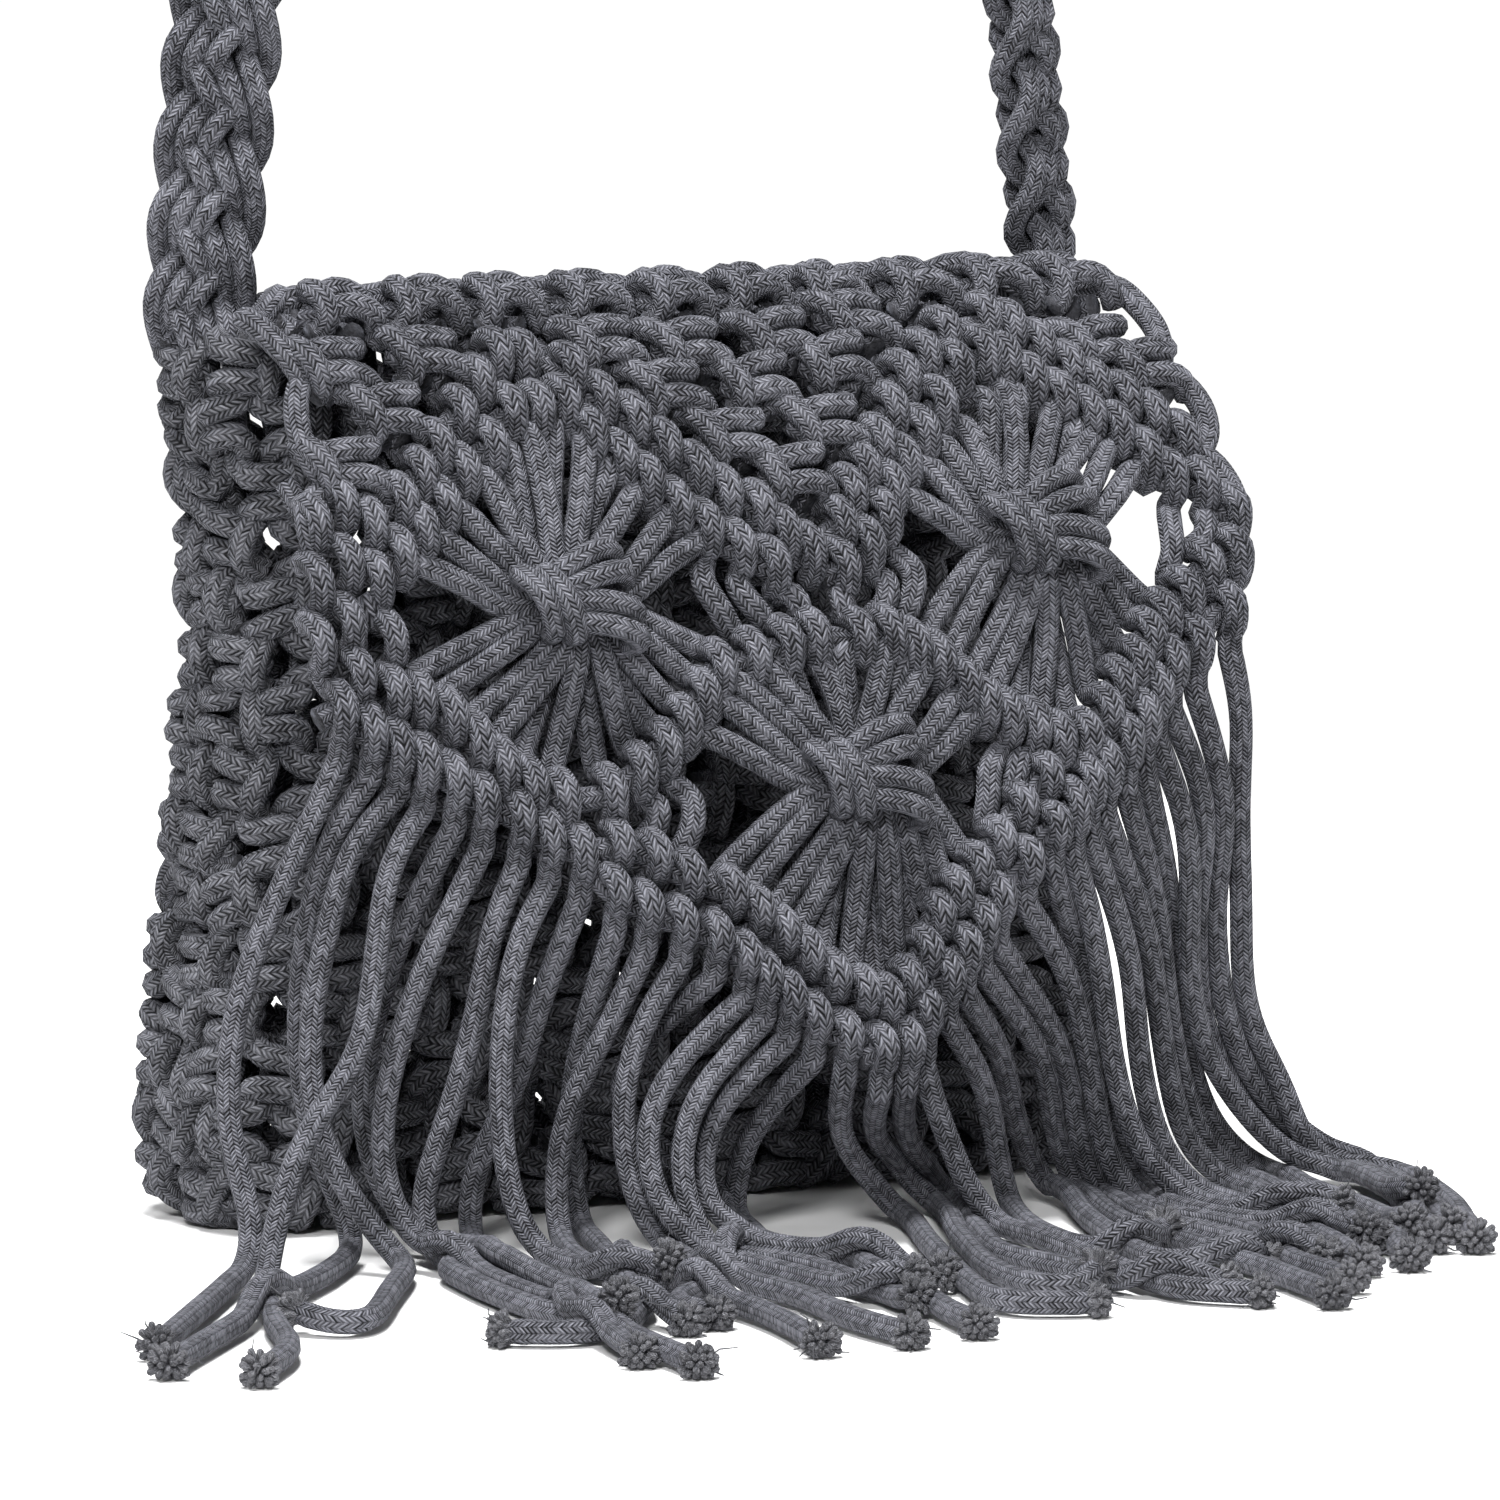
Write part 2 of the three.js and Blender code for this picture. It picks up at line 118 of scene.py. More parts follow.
class Strands:
    """Cords that are made into one mesh."""

    def __init__(self):
        self.places, self.quads, self.maps, self.caps, self.kinds = [], [], [], [], []
        self.count = 0

    def add(self, paths, radius=CORD, sides=10, kind=0):
        paths = np.asarray(paths, float)
        if paths.ndim == 2:
            paths = paths[None]
        b, n, _ = paths.shape
        _, r, s = frames_along(paths)
        turn = 2 * np.pi * np.arange(sides) / sides
        wide = np.broadcast_to(np.asarray(radius, float), (b, n))[..., None, None]
        ring = np.cos(turn)[:, None] * r[:, :, None] + np.sin(turn)[:, None] * s[:, :, None]
        self.places.append((paths[:, :, None] + wide * ring).reshape(-1, 3))
        index = self.count + np.arange(b * n * sides).reshape(b, n, sides)
        beside = np.roll(index, -1, axis=2)
        quad = np.stack([index[:, :-1], beside[:, :-1], beside[:, 1:], index[:, 1:]], -1)
        self.quads.append(quad.reshape(-1, 4))
        self.kinds.append((np.full(b * (n - 1) * sides, kind), np.full(2 * b, kind)))
        run = np.zeros((b, n))
        run[:, 1:] = np.cumsum(np.linalg.norm(np.diff(paths, axis=1), axis=-1), axis=1)
        run += rng.uniform(0, 50, (b, 1))
        u = np.broadcast_to(np.arange(sides) / sides, (b, n - 1, sides))
        low = np.broadcast_to(run[:, :-1, None], u.shape)
        high = np.broadcast_to(run[:, 1:, None], u.shape)
        nxt = u + 1 / sides
        uv = np.stack([u, low, nxt, low, nxt, high, u, high], -1).reshape(-1, 4, 2)
        self.maps.append(uv)
        self.caps.append(index[:, 0, ::-1])
        self.caps.append(index[:, -1])
        self.count += b * n * sides

    def build(self, name, materials, slot, nodes):
        places = np.vstack(self.places)
        places[:, 2] += FLOOR
        quads = np.vstack(self.quads)
        loops = [quads.ravel()]
        totals = [np.full(len(quads), 4)]
        uvs = [np.vstack(self.maps).reshape(-1, 2)]
        for cap in self.caps:
            loops.append(cap.ravel())
            totals.append(np.full(len(cap), cap.shape[1]))
            uvs.append(np.zeros((cap.size, 2)))
        loops, totals, uvs = np.concatenate(loops), np.concatenate(totals), np.vstack(uvs)
        starts = np.concatenate([[0], np.cumsum(totals)[:-1]])
        mesh = bpy.data.meshes.new(name)
        mesh.vertices.add(len(places))
        mesh.vertices.foreach_set("co", (places * 0.001).ravel())
        mesh.loops.add(len(loops))
        mesh.loops.foreach_set("vertex_index", loops.astype(np.int32))
        mesh.polygons.add(len(totals))
        mesh.polygons.foreach_set("loop_start", starts.astype(np.int32))
        mesh.update(calc_edges=True)
        layer = mesh.uv_layers.new(name="cord")
        layer.data.foreach_set("uv", (uvs * [1.0, 0.1]).ravel())
        mesh.polygons.foreach_set("use_smooth", np.ones(len(totals), bool))
        for material in materials:
            mesh.materials.append(material)
        kinds = np.concatenate([k for k, _ in self.kinds] + [k for _, k in self.kinds])
        mesh.polygons.foreach_set("material_index", kinds.astype(np.int32))
        piece = bpy.data.objects.new(name, mesh)
        bpy.context.scene.collection.objects.link(piece)
        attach(piece, "root")
        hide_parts(*nodes)
        print(name, "triangles", int((totals - 2).sum()))
        return piece


# Flap: x across and a height, or the distance s down its surface from the crest, and d out of it.
# The face that the cords lie on is the scene's own, with its crest a little under the solid's
CREST, FLAP_HALF, FORWARD = 212.0, 119.0, 27.0
STAND_OFF, TIP_DROP, LOWEST_DROP = 81.0, 156.0, 190.0
FLARE, SWAY, SWAY_FALL, SIDE_SHIFT = 0.62, 0.25, 0.1, 7.0
RIM_DEPTH, STRAP_ROOT_ROOM, SEAM_ROLL, SEAM_REACH = 0.63, 0.75, 9.0, 8.0
SEAM_BACK = HALF_DEPTH * RIM_DEPTH - WALL / 2
SEAM_HALF = STRAP_ROOT - STRAP_ROOT_ROOM * STRAP_WIDTH - CLEARANCE

# Lengths along the flap's front, by how far it has dropped, and over the arch, by its turn
drops = np.concatenate([[0.0], np.geomspace(1e-4, LOWEST_DROP, 1500)])
drop_out = STAND_OFF * (drops / TIP_DROP) ** FLARE
drop_arc = np.concatenate([[0.0], np.cumsum(np.hypot(np.diff(drops), np.diff(drop_out)))])
arch_turn = np.linspace(0, np.pi / 2, 200)
arch_y = -FORWARD + (SEAM_BACK + FORWARD) * np.cos(arch_turn)
arch_z = SEAM + (CREST - SEAM) * np.sin(arch_turn)
arch_arc = np.concatenate([[0.0], np.cumsum(np.hypot(np.diff(arch_y), np.diff(arch_z)))])
ARCH = arch_arc[-1]


def down(height):
    """The distance down the flap's front from the crest to a height."""
    return np.interp(CREST - np.asarray(height, float), drops, drop_arc)


def down_signed(height):
    """The distance from the crest, which for a height over it is a little way up and back."""
    return float(down(height)) if height < CREST else (CREST - height) * 1.2


def flap_surface(x, s):
    """The flap's face: down the front from the crest, or back over the mouth to the seam."""
    share = x / FLAP_HALF
    drop = np.interp(s, drop_arc, drops)
    sway = 1 + SWAY * share - SWAY_FALL * share * share
    front = np.stack(
        [
            x + SIDE_SHIFT * np.minimum(2 * drop / TIP_DROP, 1),
            -FORWARD - STAND_OFF * sway * (drop / TIP_DROP) ** FLARE,
            CREST - drop,
        ],
        -1,
    )
    at = np.maximum(ARCH + s, -SEAM_REACH)
    turn = np.interp(at, arch_arc, arch_turn) + np.minimum(at, 0) / SEAM_ROLL
    part = np.clip(turn / (np.pi / 2), 0, 1)
    half = SEAM_HALF + (FLAP_HALF - SEAM_HALF) * part**6
    back = np.stack(
        [
            share * half,
            -FORWARD + (SEAM_BACK + FORWARD) * np.cos(turn),
            SEAM + (CREST - SEAM) * np.sin(turn),
        ],
        -1,
    )
    return np.where((s > 0)[..., None], front, back)


def on_flap(p):
    """Places given as x, s and d, moved onto the flap, whose cords lie a little in from its face."""
    p = np.asarray(p, float)
    x, s, d = p[..., 0], p[..., 1], p[..., 2]
    step, sunk = 1.5, 1.0
    across = flap_surface(x + step, s) - flap_surface(x - step, s)
    ahead = flap_surface(x, s + step) - flap_surface(x, s - step)
    face = unit(np.cross(ahead, across))
    return flap_surface(x, s) + face * (d[..., None] - sunk)


# Body walls: a share round them, a height and d out of their middle
PROFILE = np.array(
    [(0.0, 0.965, 0.86), (0.1, 1.0, 1.0), (0.4, 0.965, 0.86), (0.75, 0.94, 0.68), (1.0, 1.0, RIM_DEPTH)]
)


def read_profile(column, height):
    """A smooth reading of the profile's width (1) or depth (2) at a height."""
    t = np.clip(np.asarray(height, float) / RIM, 0, 1)
    h, v = PROFILE[:, 0], PROFILE[:, column]
    low, high = np.maximum(np.arange(5) - 1, 0), np.minimum(np.arange(5) + 1, 4)
    slope = (v[high] - v[low]) / (h[high] - h[low])
    row = np.clip(np.searchsorted(h, t, side="left") - 1, 0, 3)
    span = h[row + 1] - h[row]
    u = (t - h[row]) / span
    swing = u * (1 - u) * (slope[row] * span * (1 - u) - slope[row + 1] * span * u)
    return v[row] + (v[row + 1] - v[row]) * u * u * (3 - 2 * u) + swing


def round_body(height):
    """Half width, half depth, corner radius, and the way round a front and round a side."""
    width, depth = HALF_WIDTH * read_profile(1, height), HALF_DEPTH * read_profile(2, height)
    radius = np.minimum(CORNER, depth * 0.8)
    corner = np.pi / 4 * radius
    return width, depth, radius, 2 * (width - radius + corner), 2 * (depth - radius + corner)


def on_body(share, height, d):
    """A place on one of the four walls, with their corners rounded."""
    width, depth, radius, front, side = round_body(height)
    w = (share % 1.0) * 2 * (front + side)
    places = []
    for turn in range(4):
        along, out = (width, depth) if turn % 2 == 0 else (depth, width)
        begin = [0 * front, front, front + side, 2 * front + side][turn]
        length = front if turn % 2 == 0 else side
        reach = w - begin - length / 2
        straight = along - radius
        past = np.clip((np.abs(reach) - straight) / radius, 0, np.pi / 4)
        bend = radius - WALL / 2 + d
        lateral = np.where(past > 0, np.sign(reach) * (straight + bend * np.sin(past)), reach)
        outward = out - radius + bend * np.cos(past)
        x, y = lateral, -outward
        for _ in range(turn):
            x, y = -y, x
        places.append(np.stack([x, y, height + 0 * x], -1))
    which = (w >= front).astype(int) + (w >= front + side) + (w >= 2 * front + side)
    return np.choose(which[..., None], places)


# A square knot of four cords, as x, up and out of the face: two that tie it and two in its core.
# It fills a room that is KNOT_WIDE by KNOT_HIGH, and its cords end at KNOT_TOP over its middle
KNOT_WIDE, KNOT_HIGH, KNOT_TOP = 26.4, 13.5, 6.9
KNOT = [
    [(-9.9, 6.9, 0), (-8.3, 5.6, 2.6), (-6.9, 2.0, 5.0), (-5.8, -1.8, 5.2), (-5.6, -5.0, 3.0),
     (-7.6, -6.3, 0.3), (-9.9, -6.9, 0)],
    [(9.9, 6.9, 0), (9.5, 5.0, 2.2), (7.2, 3.4, 4.2), (3.0, 3.3, 4.9), (-1.5, 3.1, 4.7), (-5.0, 2.6, 2.0),
     (-6.6, 0.2, 0.8), (-5.0, -2.4, 2.0), (-1.0, -3.2, 4.7), (3.5, -3.5, 4.9), (7.5, -4.5, 3.6),
     (9.9, -6.9, 0)],
    [(-3.3, 6.9, 0), (-2.7, 3, -1.8), (-2.7, -3, -1.8), (-3.3, -6.9, 0)],
    [(3.3, 6.9, 0), (2.7, 3, -1.8), (2.7, -3, -1.8), (3.3, -6.9, 0)],
]


def knots(strands, centres, scales, place, mirror, sides, step=2.2, radius=CORD, loose=1.0):
    """Square knots at many places, which place moves from their own x, up and out into the frame.

    Each is a little off, more so where they are loose, and some loose ones are turned over."""
    if len(centres) == 0:
        return
    stretch, aside, shear, raised, tilt = 0.03, 0.8, 0.12, 0.6, 0.1
    centres = np.asarray(centres, float)
    wobble = rng.normal(0, 1, (len(centres), 4)) * loose
    mirror = np.where(rng.uniform(0, 1, (len(centres), 1)) < 0.4 * (loose - 1), -mirror, mirror)
    for points in KNOT:
        path = curve(points, step)
        inner = np.clip(1 - (np.abs(path[:, 1]) / KNOT_TOP) ** 4, 0, 1)
        x = path[None, :, 0] * mirror * (1 + stretch * wobble[:, :1])
        up = np.broadcast_to(path[None, :, 1], x.shape)
        x = x + inner * (aside * wobble[:, 1:2] + shear * wobble[:, 2:3] * up)
        up = up + inner * (raised * wobble[:, 3:4] + tilt * wobble[:, 2:3] * path[None, :, 0])
        out = np.broadcast_to(path[None, :, 2], x.shape)
        moved = place(centres, x * scales[:, :1], up * scales[:, 1:2], out)
        strands.add(moved, radius=radius, sides=sides)


# The numbers in ROWS, FANS, FLOWERS, EDGE_LOOPS, TOP_KNOTS, CREST_KNOTS and ROUTES aren't all chosen
# by hand. Points were picked by eye in the photo, scratch scripts worked out their millimetres with
# the camera, and some of these were then moved by hand

# Rows of hitches on the flap. Each cord has one lump in each row it passes, at x and height
ROWS = {
    "O": {3: (-93.0, 171.4), 4: (-86.7, 177.1), 5: (-80.6, 183.0), 6: (-72.6, 190.3), 7: (-65.6, 196.9),
          8: (-58.3, 202.6), 9: (-51.9, 202.0), 10: (-41.4, 198.8), 11: (-36.3, 192.2),
          12: (-29.9, 187.4), 13: (-24.5, 181.3), 14: (-18.5, 175.8), 15: (-13.1, 170.5),
          16: (-5.9, 166.7), 17: (-1.6, 161.0)},
    "I": {3: (-96.5, 159.6), 4: (-90.0, 164.8), 5: (-83.3, 170.3), 6: (-76.2, 177.5), 7: (-67.7, 182.9),
          8: (-60.2, 190.3), 9: (-53.0, 190.6), 10: (-45.7, 191.7), 11: (-42.0, 184.6),
          12: (-36.5, 179.1), 13: (-31.6, 173.9), 14: (-26.3, 168.1), 15: (-20.6, 163.0),
          16: (-13.9, 158.3), 17: (-6.7, 154.1)},
    "P": {18: (3.4, 157.0), 19: (13.3, 162.6), 20: (18.5, 169.3), 21: (23.9, 174.4), 22: (30.6, 180.1),
          23: (36.8, 187.2), 24: (43.6, 194.1), 25: (51.6, 198.6), 26: (60.1, 203.2), 27: (73.1, 206.0),
          28: (78.5, 204.1), 29: (83.5, 199.7), 30: (88.5, 194.7), 31: (93.2, 190.6), 32: (99.9, 187.3),
          33: (105.1, 183.1), 34: (111.0, 178.0)},
    "J": {18: (10.6, 152.9), 19: (18.6, 157.9), 20: (25.2, 163.9), 21: (29.1, 170.0), 22: (35.0, 175.7),
          23: (42.6, 181.7), 24: (50.2, 188.0), 25: (58.8, 195.8), 26: (67.9, 198.7), 27: (72.5, 197.0),
          28: (76.9, 192.5), 29: (82.7, 188.4), 30: (88.5, 184.4), 31: (94.3, 180.8), 32: (99.3, 174.9),
          33: (103.7, 169.8), 34: (111.5, 167.7), 35: (117.2, 161.3)},
    "U": {15: (-17.8, 134.0), 16: (-8.9, 136.3), 17: (-1.7, 137.8), 18: (9.5, 137.4), 19: (17.3, 137.5),
          20: (22.5, 134.6)},
    "L": {3: (-98.9, 127.4), 4: (-92.3, 123.4), 5: (-86.8, 117.5), 6: (-81.8, 111.9), 7: (-75.9, 107.3),
          8: (-68.9, 104.3), 9: (-57.7, 105.0), 10: (-49.9, 109.6), 11: (-43.3, 114.6),
          12: (-37.5, 119.7), 13: (-31.8, 125.5), 14: (-26.7, 131.7)},
    "M": {21: (28.1, 131.4), 22: (33.3, 125.6), 23: (37.4, 121.7), 24: (42.7, 118.1), 25: (48.8, 115.6),
          26: (54.5, 112.4), 27: (61.5, 112.5), 28: (68.1, 117.8), 29: (73.0, 123.9), 30: (78.7, 128.1),
          31: (83.8, 134.2), 32: (89.4, 138.4), 33: (97.1, 143.0), 34: (104.9, 149.0),
          35: (113.7, 151.8)},
    "N": {9: (-57.6, 93.7), 10: (-49.4, 90.9), 11: (-42.1, 86.2), 12: (-32.8, 82.2), 13: (-27.1, 77.8),
          14: (-21.9, 72.9), 15: (-16.8, 67.8), 16: (-11.4, 62.6), 17: (-4.9, 58.8), 18: (0.5, 56.5),
          19: (6.3, 60.5), 20: (11.6, 66.9), 21: (16.0, 74.7), 22: (21.4, 79.8), 23: (27.6, 84.9),
          24: (34.3, 90.3), 25: (41.4, 97.8), 26: (49.3, 104.4)},
    "B": {0: (-117.5, 125.5), 1: (-111.2, 120.8), 2: (-105.4, 117.1), 3: (-99.9, 113.5),
          4: (-93.6, 109.1), 5: (-87.5, 104.6), 6: (-79.7, 100.5), 7: (-73.6, 95.9), 8: (-66.7, 92.3),
          9: (-60.0, 83.5), 10: (-53.1, 79.5), 11: (-45.6, 76.0), 12: (-37.8, 72.5), 13: (-31.7, 67.7),
          14: (-27.5, 63.1), 15: (-22.7, 58.5), 16: (-17.5, 53.5), 17: (-10.7, 49.2), 18: (-2.8, 46.0),
          19: (3.7, 46.8), 20: (9.2, 53.7), 21: (16.0, 61.4), 22: (21.4, 67.1), 23: (26.4, 72.6),
          24: (31.6, 77.9), 25: (40.4, 85.9), 26: (49.0, 93.1), 27: (55.0, 97.4), 28: (59.9, 102.5),
          29: (65.1, 105.9), 30: (71.8, 111.6), 31: (77.7, 116.5), 32: (82.4, 122.3), 33: (88.0, 128.3),
          34: (95.8, 132.3), 35: (107.2, 139.7)},
    "a": {0: (-115.1, 167.1), 1: (-107.6, 171.3), 2: (-101.8, 166.6)},
    "b": {0: (-117.8, 154.0), 1: (-109.7, 158.1), 2: (-103.5, 154.5)},
    "c": {0: (-120.3, 140.7), 1: (-112.4, 144.9), 2: (-103.4, 141.1)},
    "d": {1: (-112.5, 133.3), 2: (-104.9, 128.9)},
}

# Where the cords of each flower's upper fan leave the hitches
FANS = {
    1: {3: (-93.7, 157.4), 4: (-86.6, 163.2), 5: (-79.7, 169.2), 6: (-71.3, 176.5), 7: (-63.3, 182.3),
        8: (-56.9, 185.9), 9: (-50.4, 187.1), 10: (-43.6, 184.0), 11: (-39.7, 177.4), 12: (-34.8, 172.3),
        13: (-29.1, 166.3), 14: (-22.6, 160.9)},
    2: {21: (33.0, 167.9), 22: (41.3, 175.0), 23: (47.5, 179.2), 24: (54.8, 183.3), 25: (64.2, 189.0),
        26: (70.6, 191.0), 27: (73.0, 190.0), 28: (79.6, 186.0), 29: (84.7, 182.2), 30: (88.0, 179.5),
        31: (91.1, 176.6), 32: (96.0, 171.6)},
    3: {12: (-33.2, 117.0), 13: (-27.2, 123.9), 14: (-22.6, 128.4), 15: (-15.2, 130.4), 16: (-9.3, 132.4),
        17: (-0.8, 131.4), 18: (5.6, 134.1), 19: (15.9, 134.5), 20: (20.1, 131.2), 21: (26.1, 129.7),
        22: (30.9, 122.9), 23: (35.6, 118.3)},
}
FLOWERS = {1: (-58.6, 147.2), 2: (62.9, 157.9), 3: (3.0, 105.8)}

# Ends of a flower's cords at its knot, from left to right: x, up and out from its middle
FAN_TOP = [
    (-15, 0.5, 1), (-14, 4, 2.5), (-9, 6.5, 2.5), (-6, 8, 4), (-4.5, 8, -2.5), (-1.5, 9, 4),
    (0.5, 9, -2.5), (3, 10, 4), (5, 9, -2), (7.5, 10, 2.5), (12.5, 4, 2), (14.5, 1.5, 1),
]
FAN_LOW = [
    (-14, -3.5, 1), (-12.5, -7, 2.5), (-6.5, -9.5, 2.5), (-4, -10, 4), (-3, -8.5, -2.5), (-1, -10, 4),
    (1, -9.5, -2.5), (3.5, -10, 3.8), (5.5, -9.5, -2), (8, -9.5, 3), (12, -5, 2), (14, -2.5, 1),
]

# The doubled square knot that ties a flower: two upright loops, then four bars
FLOWER_KNOT = [
    [(-11.4, 5.4, 1.5), (-12.9, 5.2, 7.5), (-11.0, -1.2, 12.2), (-8.7, -7.6, 8.4), (-7.4, -7.6, 2)],
    [(-6.4, 5.2, 3), (-8.0, 4.6, 9.6), (-6.1, -2.4, 13.2), (-4.0, -9.0, 9.4), (-3.0, -8.4, 3)],
    [(-8, 2.8, 5), (-4.6, 5.0, 10), (0, 7.6, 12.2), (5.8, 9.4, 11.2), (9.6, 9.2, 7.5), (9.9, 7.8, 0)],
    [(-7, 0.6, 6), (-3.0, 1.2, 10.8), (2.6, 2.7, 13.0), (7.8, 3.9, 11.8), (11.2, 3.6, 7.5),
     (11.0, 2.6, 0)],
    [(-7, -0.8, 6), (-2.8, -2.2, 11), (3.2, -3.2, 12.6), (8.4, -4.4, 11.2), (11.6, -5.2, 7.2),
     (11.2, -5.0, 0)],
    [(-6, -4.6, 6), (-2, -7.2, 10.6), (4, -9.0, 12), (8.6, -10.4, 10.4), (11.2, -11.4, 6.8),
     (10.6, -10.8, 0)],
]

# Loops at the flap's two side edges, where cords turn from one row of knots to the next
EDGE_LOOPS = [
    [(104, 213, -3), (109.1, 216, 0), (115.7, 213.5, 1), (118.6, 207.5, 1), (118.6, 200.6, 1),
     (113.7, 193.5, 1), (108, 190, -2)],
    [(105, 194, -2), (110.5, 192.7, 1), (116.8, 190.6, 2), (120.0, 184.9, 2), (119.3, 178.8, 1),
     (114.3, 173.8, 0), (110, 170, -2)],
    [(110, 175, -2), (115.7, 173.8, 1), (118.8, 168.0, 2), (118.6, 160.0, 2), (114.1, 153.4, 0),
     (112, 150, -2)],
    [(-104, 213, -3), (-113, 215.9, 0), (-115.5, 212.8, 1), (-112.6, 207.6, 2), (-109.7, 202.6, 2),
     (-106, 197.5, -1)],
    [(-106, 199, -2), (-110.0, 196.6, 1), (-112.8, 190.7, 2), (-113.1, 184.1, 2), (-110.2, 177.9, 1),
     (-106, 174, -2)],
    [(-106, 177, -2), (-111.3, 174.0, 1), (-115.8, 170.4, 1.5), (-116.4, 165, 1), (-115, 160.0, -1)],
]

# Sideways swing of a cord between two hitches, as cord, upper row and how far
SWINGS = {
    (15, "I"): -4.5, (16, "I"): -3.5, (17, "I"): 2.0, (18, "J"): -1.5, (19, "J"): 3.0, (20, "J"): 4.5,
    (9, "L"): 1.0, (10, "L"): 3.0, (11, "L"): 4.5, (24, "M"): -4.0, (25, "M"): -2.5, (26, "M"): 1.5,
    (33, "J"): -1.5, (34, "J"): 1.0, (2, "b"): -3.0, (1, "c"): 1.0,
}


def cord_rows(k):
    """The rows and fans that cord k passes from top to bottom."""
    if k < 3:
        return ["a", "b", "c"] + (["d"] if k > 0 else []) + ["B"]
    if k < 15:
        tail = ["B"] if k < 9 else ["N", "B"] if k < 12 else [3, "N", "B"]
        return ["O", "I", 1, "L"] + tail
    if k < 18:
        return ["O", "I", "U", 3, "N", "B"]
    if k < 21:
        return ["P", "J", "U", 3, "N", "B"]
    if k < 24:
        return ["P", "J", 2, "M", 3, "N", "B"]
    if k < 27:
        return ["P", "J", 2, "M", "N", "B"]
    if k < 33:
        return ["P", "J", 2, "M", "B"]
    return (["P"] if k < 35 else []) + ["J", "M", "B"]


def lump(x, s, lean, half):
    """A cord's arch over the leader of a row of hitches, with both ends tucked in."""
    side = 0.35 * lean
    end, shoulder, top = -2.9, 2.2, 5.9
    return [
        (x - side * 1.3, s - half, end),
        (x - side, s - half * 0.78, shoulder),
        (x, s, top),
        (x + side, s + half * 0.78, shoulder),
        (x + side * 1.2, s + half, end),
    ]


def fan_points(k, number):
    """Cord k through a flower: from the hitches above it, under its tie and out below."""
    order = sorted(FANS[number]).index(k)
    x, h = FANS[number][k]
    s = float(down(h))
    cx, mid = FLOWERS[number][0], down(FLOWERS[number][1])
    deep, inward, near = 1.6, 0.42, 0.2
    tx, tu, td = FAN_TOP[order]
    lx, lu, ld = FAN_LOW[order]
    bow = td * 0.9 if td < 0 else 1.0 + td * 0.4
    under = 0.4 + (order % 3)
    return [
        (x, s, 0.4),
        ((x + cx + tx) / 2 + rng.uniform(-0.6, 0.6), (s + mid - tu) / 2, bow),
        (cx + tx, mid - tu, td - deep),
        (cx + tx * inward, mid - tu * near, under),
        (cx + lx * inward, mid - lu * near, under),
        (cx + lx, mid - lu, ld - deep),
    ]


def flap_cord(k):
    """The points of cord k on the flap, as x, s and d."""
    rows = cord_rows(k)
    x, h = ROWS[rows[0]][k]
    above, hidden = 12.0, -4.5
    points = [(x - 1.5, down(h) - above, hidden)]
    for i, row in enumerate(rows):
        if isinstance(row, int):
            points += fan_points(k, row)
            continue
        x, h = ROWS[row][k]
        s = float(down(h))
        lean = 1.0 + rng.uniform(-0.25, 0.35)
        short = row == "N" or row == "B" and 8 < k < 27
        points += lump(x, s, lean, 4.5 if short else 5.7)
        swing = SWINGS.get((k, row))
        if swing is not None:
            nx, nh = ROWS[rows[i + 1]][k]
            ns = float(down(nh))
            points.append((x + (nx - x) * 0.3 + swing, s + (ns - s) * 0.42, 0.5))
            points.append((x + (nx - x) * 0.6 + swing * 0.75, s + (ns - s) * 0.62, 0.5))
    x, s, _ = points[-1]
    return points + [(x - 0.4, s + 1.6, -1.5)]


# Square knots over the flap's top: x and height, in rows from the crest down
TOP_KNOTS = [
    (-99.0, 200.7), (-76.0, 202.3), (-30.9, 203.4), (-9.5, 202.5), (15.5, 203.8), (38.0, 206.0),
    (99.5, 198.6), (-90.9, 190.6), (-18.5, 192.8), (4.3, 194.2), (28.0, 197.0), (109.0, 193.4),
    (-104.8, 178.5), (-7.2, 182.5), (17.3, 184.3), (5.2, 173.9),
]

# Square knots along the crest, by x, and the rows of them behind it, by s
CREST_KNOTS = [-93.5, -71.4, -50.1, -28.7, -6.3, 15.4, 37.7, 60.4, 81.8, 103.8]
ARCH_ROWS, ARCH_COLUMN = (-9.3, -22.8, -36.3), 22.0

# Radii over the last places of a cord on the flap
FLAP_TAIL = [2.95, 2.8, 2.5]


def flap_place(centres, x, up, out):
    lean = 0.12 * up
    return on_flap(np.stack([centres[:, :1] + x - lean, centres[:, 1:2] - up, out], -1))


def crest_place(centres, x, up, out):
    return flap_place(centres, x, up, out * 1.45)


def make_leader(run, row):
    """The cord that a run of hitches is tied over, with its ends past them."""
    line = [(row[k][0], float(down(row[k][1])), -1.2) for k in run]
    (x0, s0, _), (x1, s1, _) = line[0], line[-1]
    return [(x0 - 5, s0 + 2, -1.0)] + line + [(x1 + 5, s1 + 2, -1.0)]


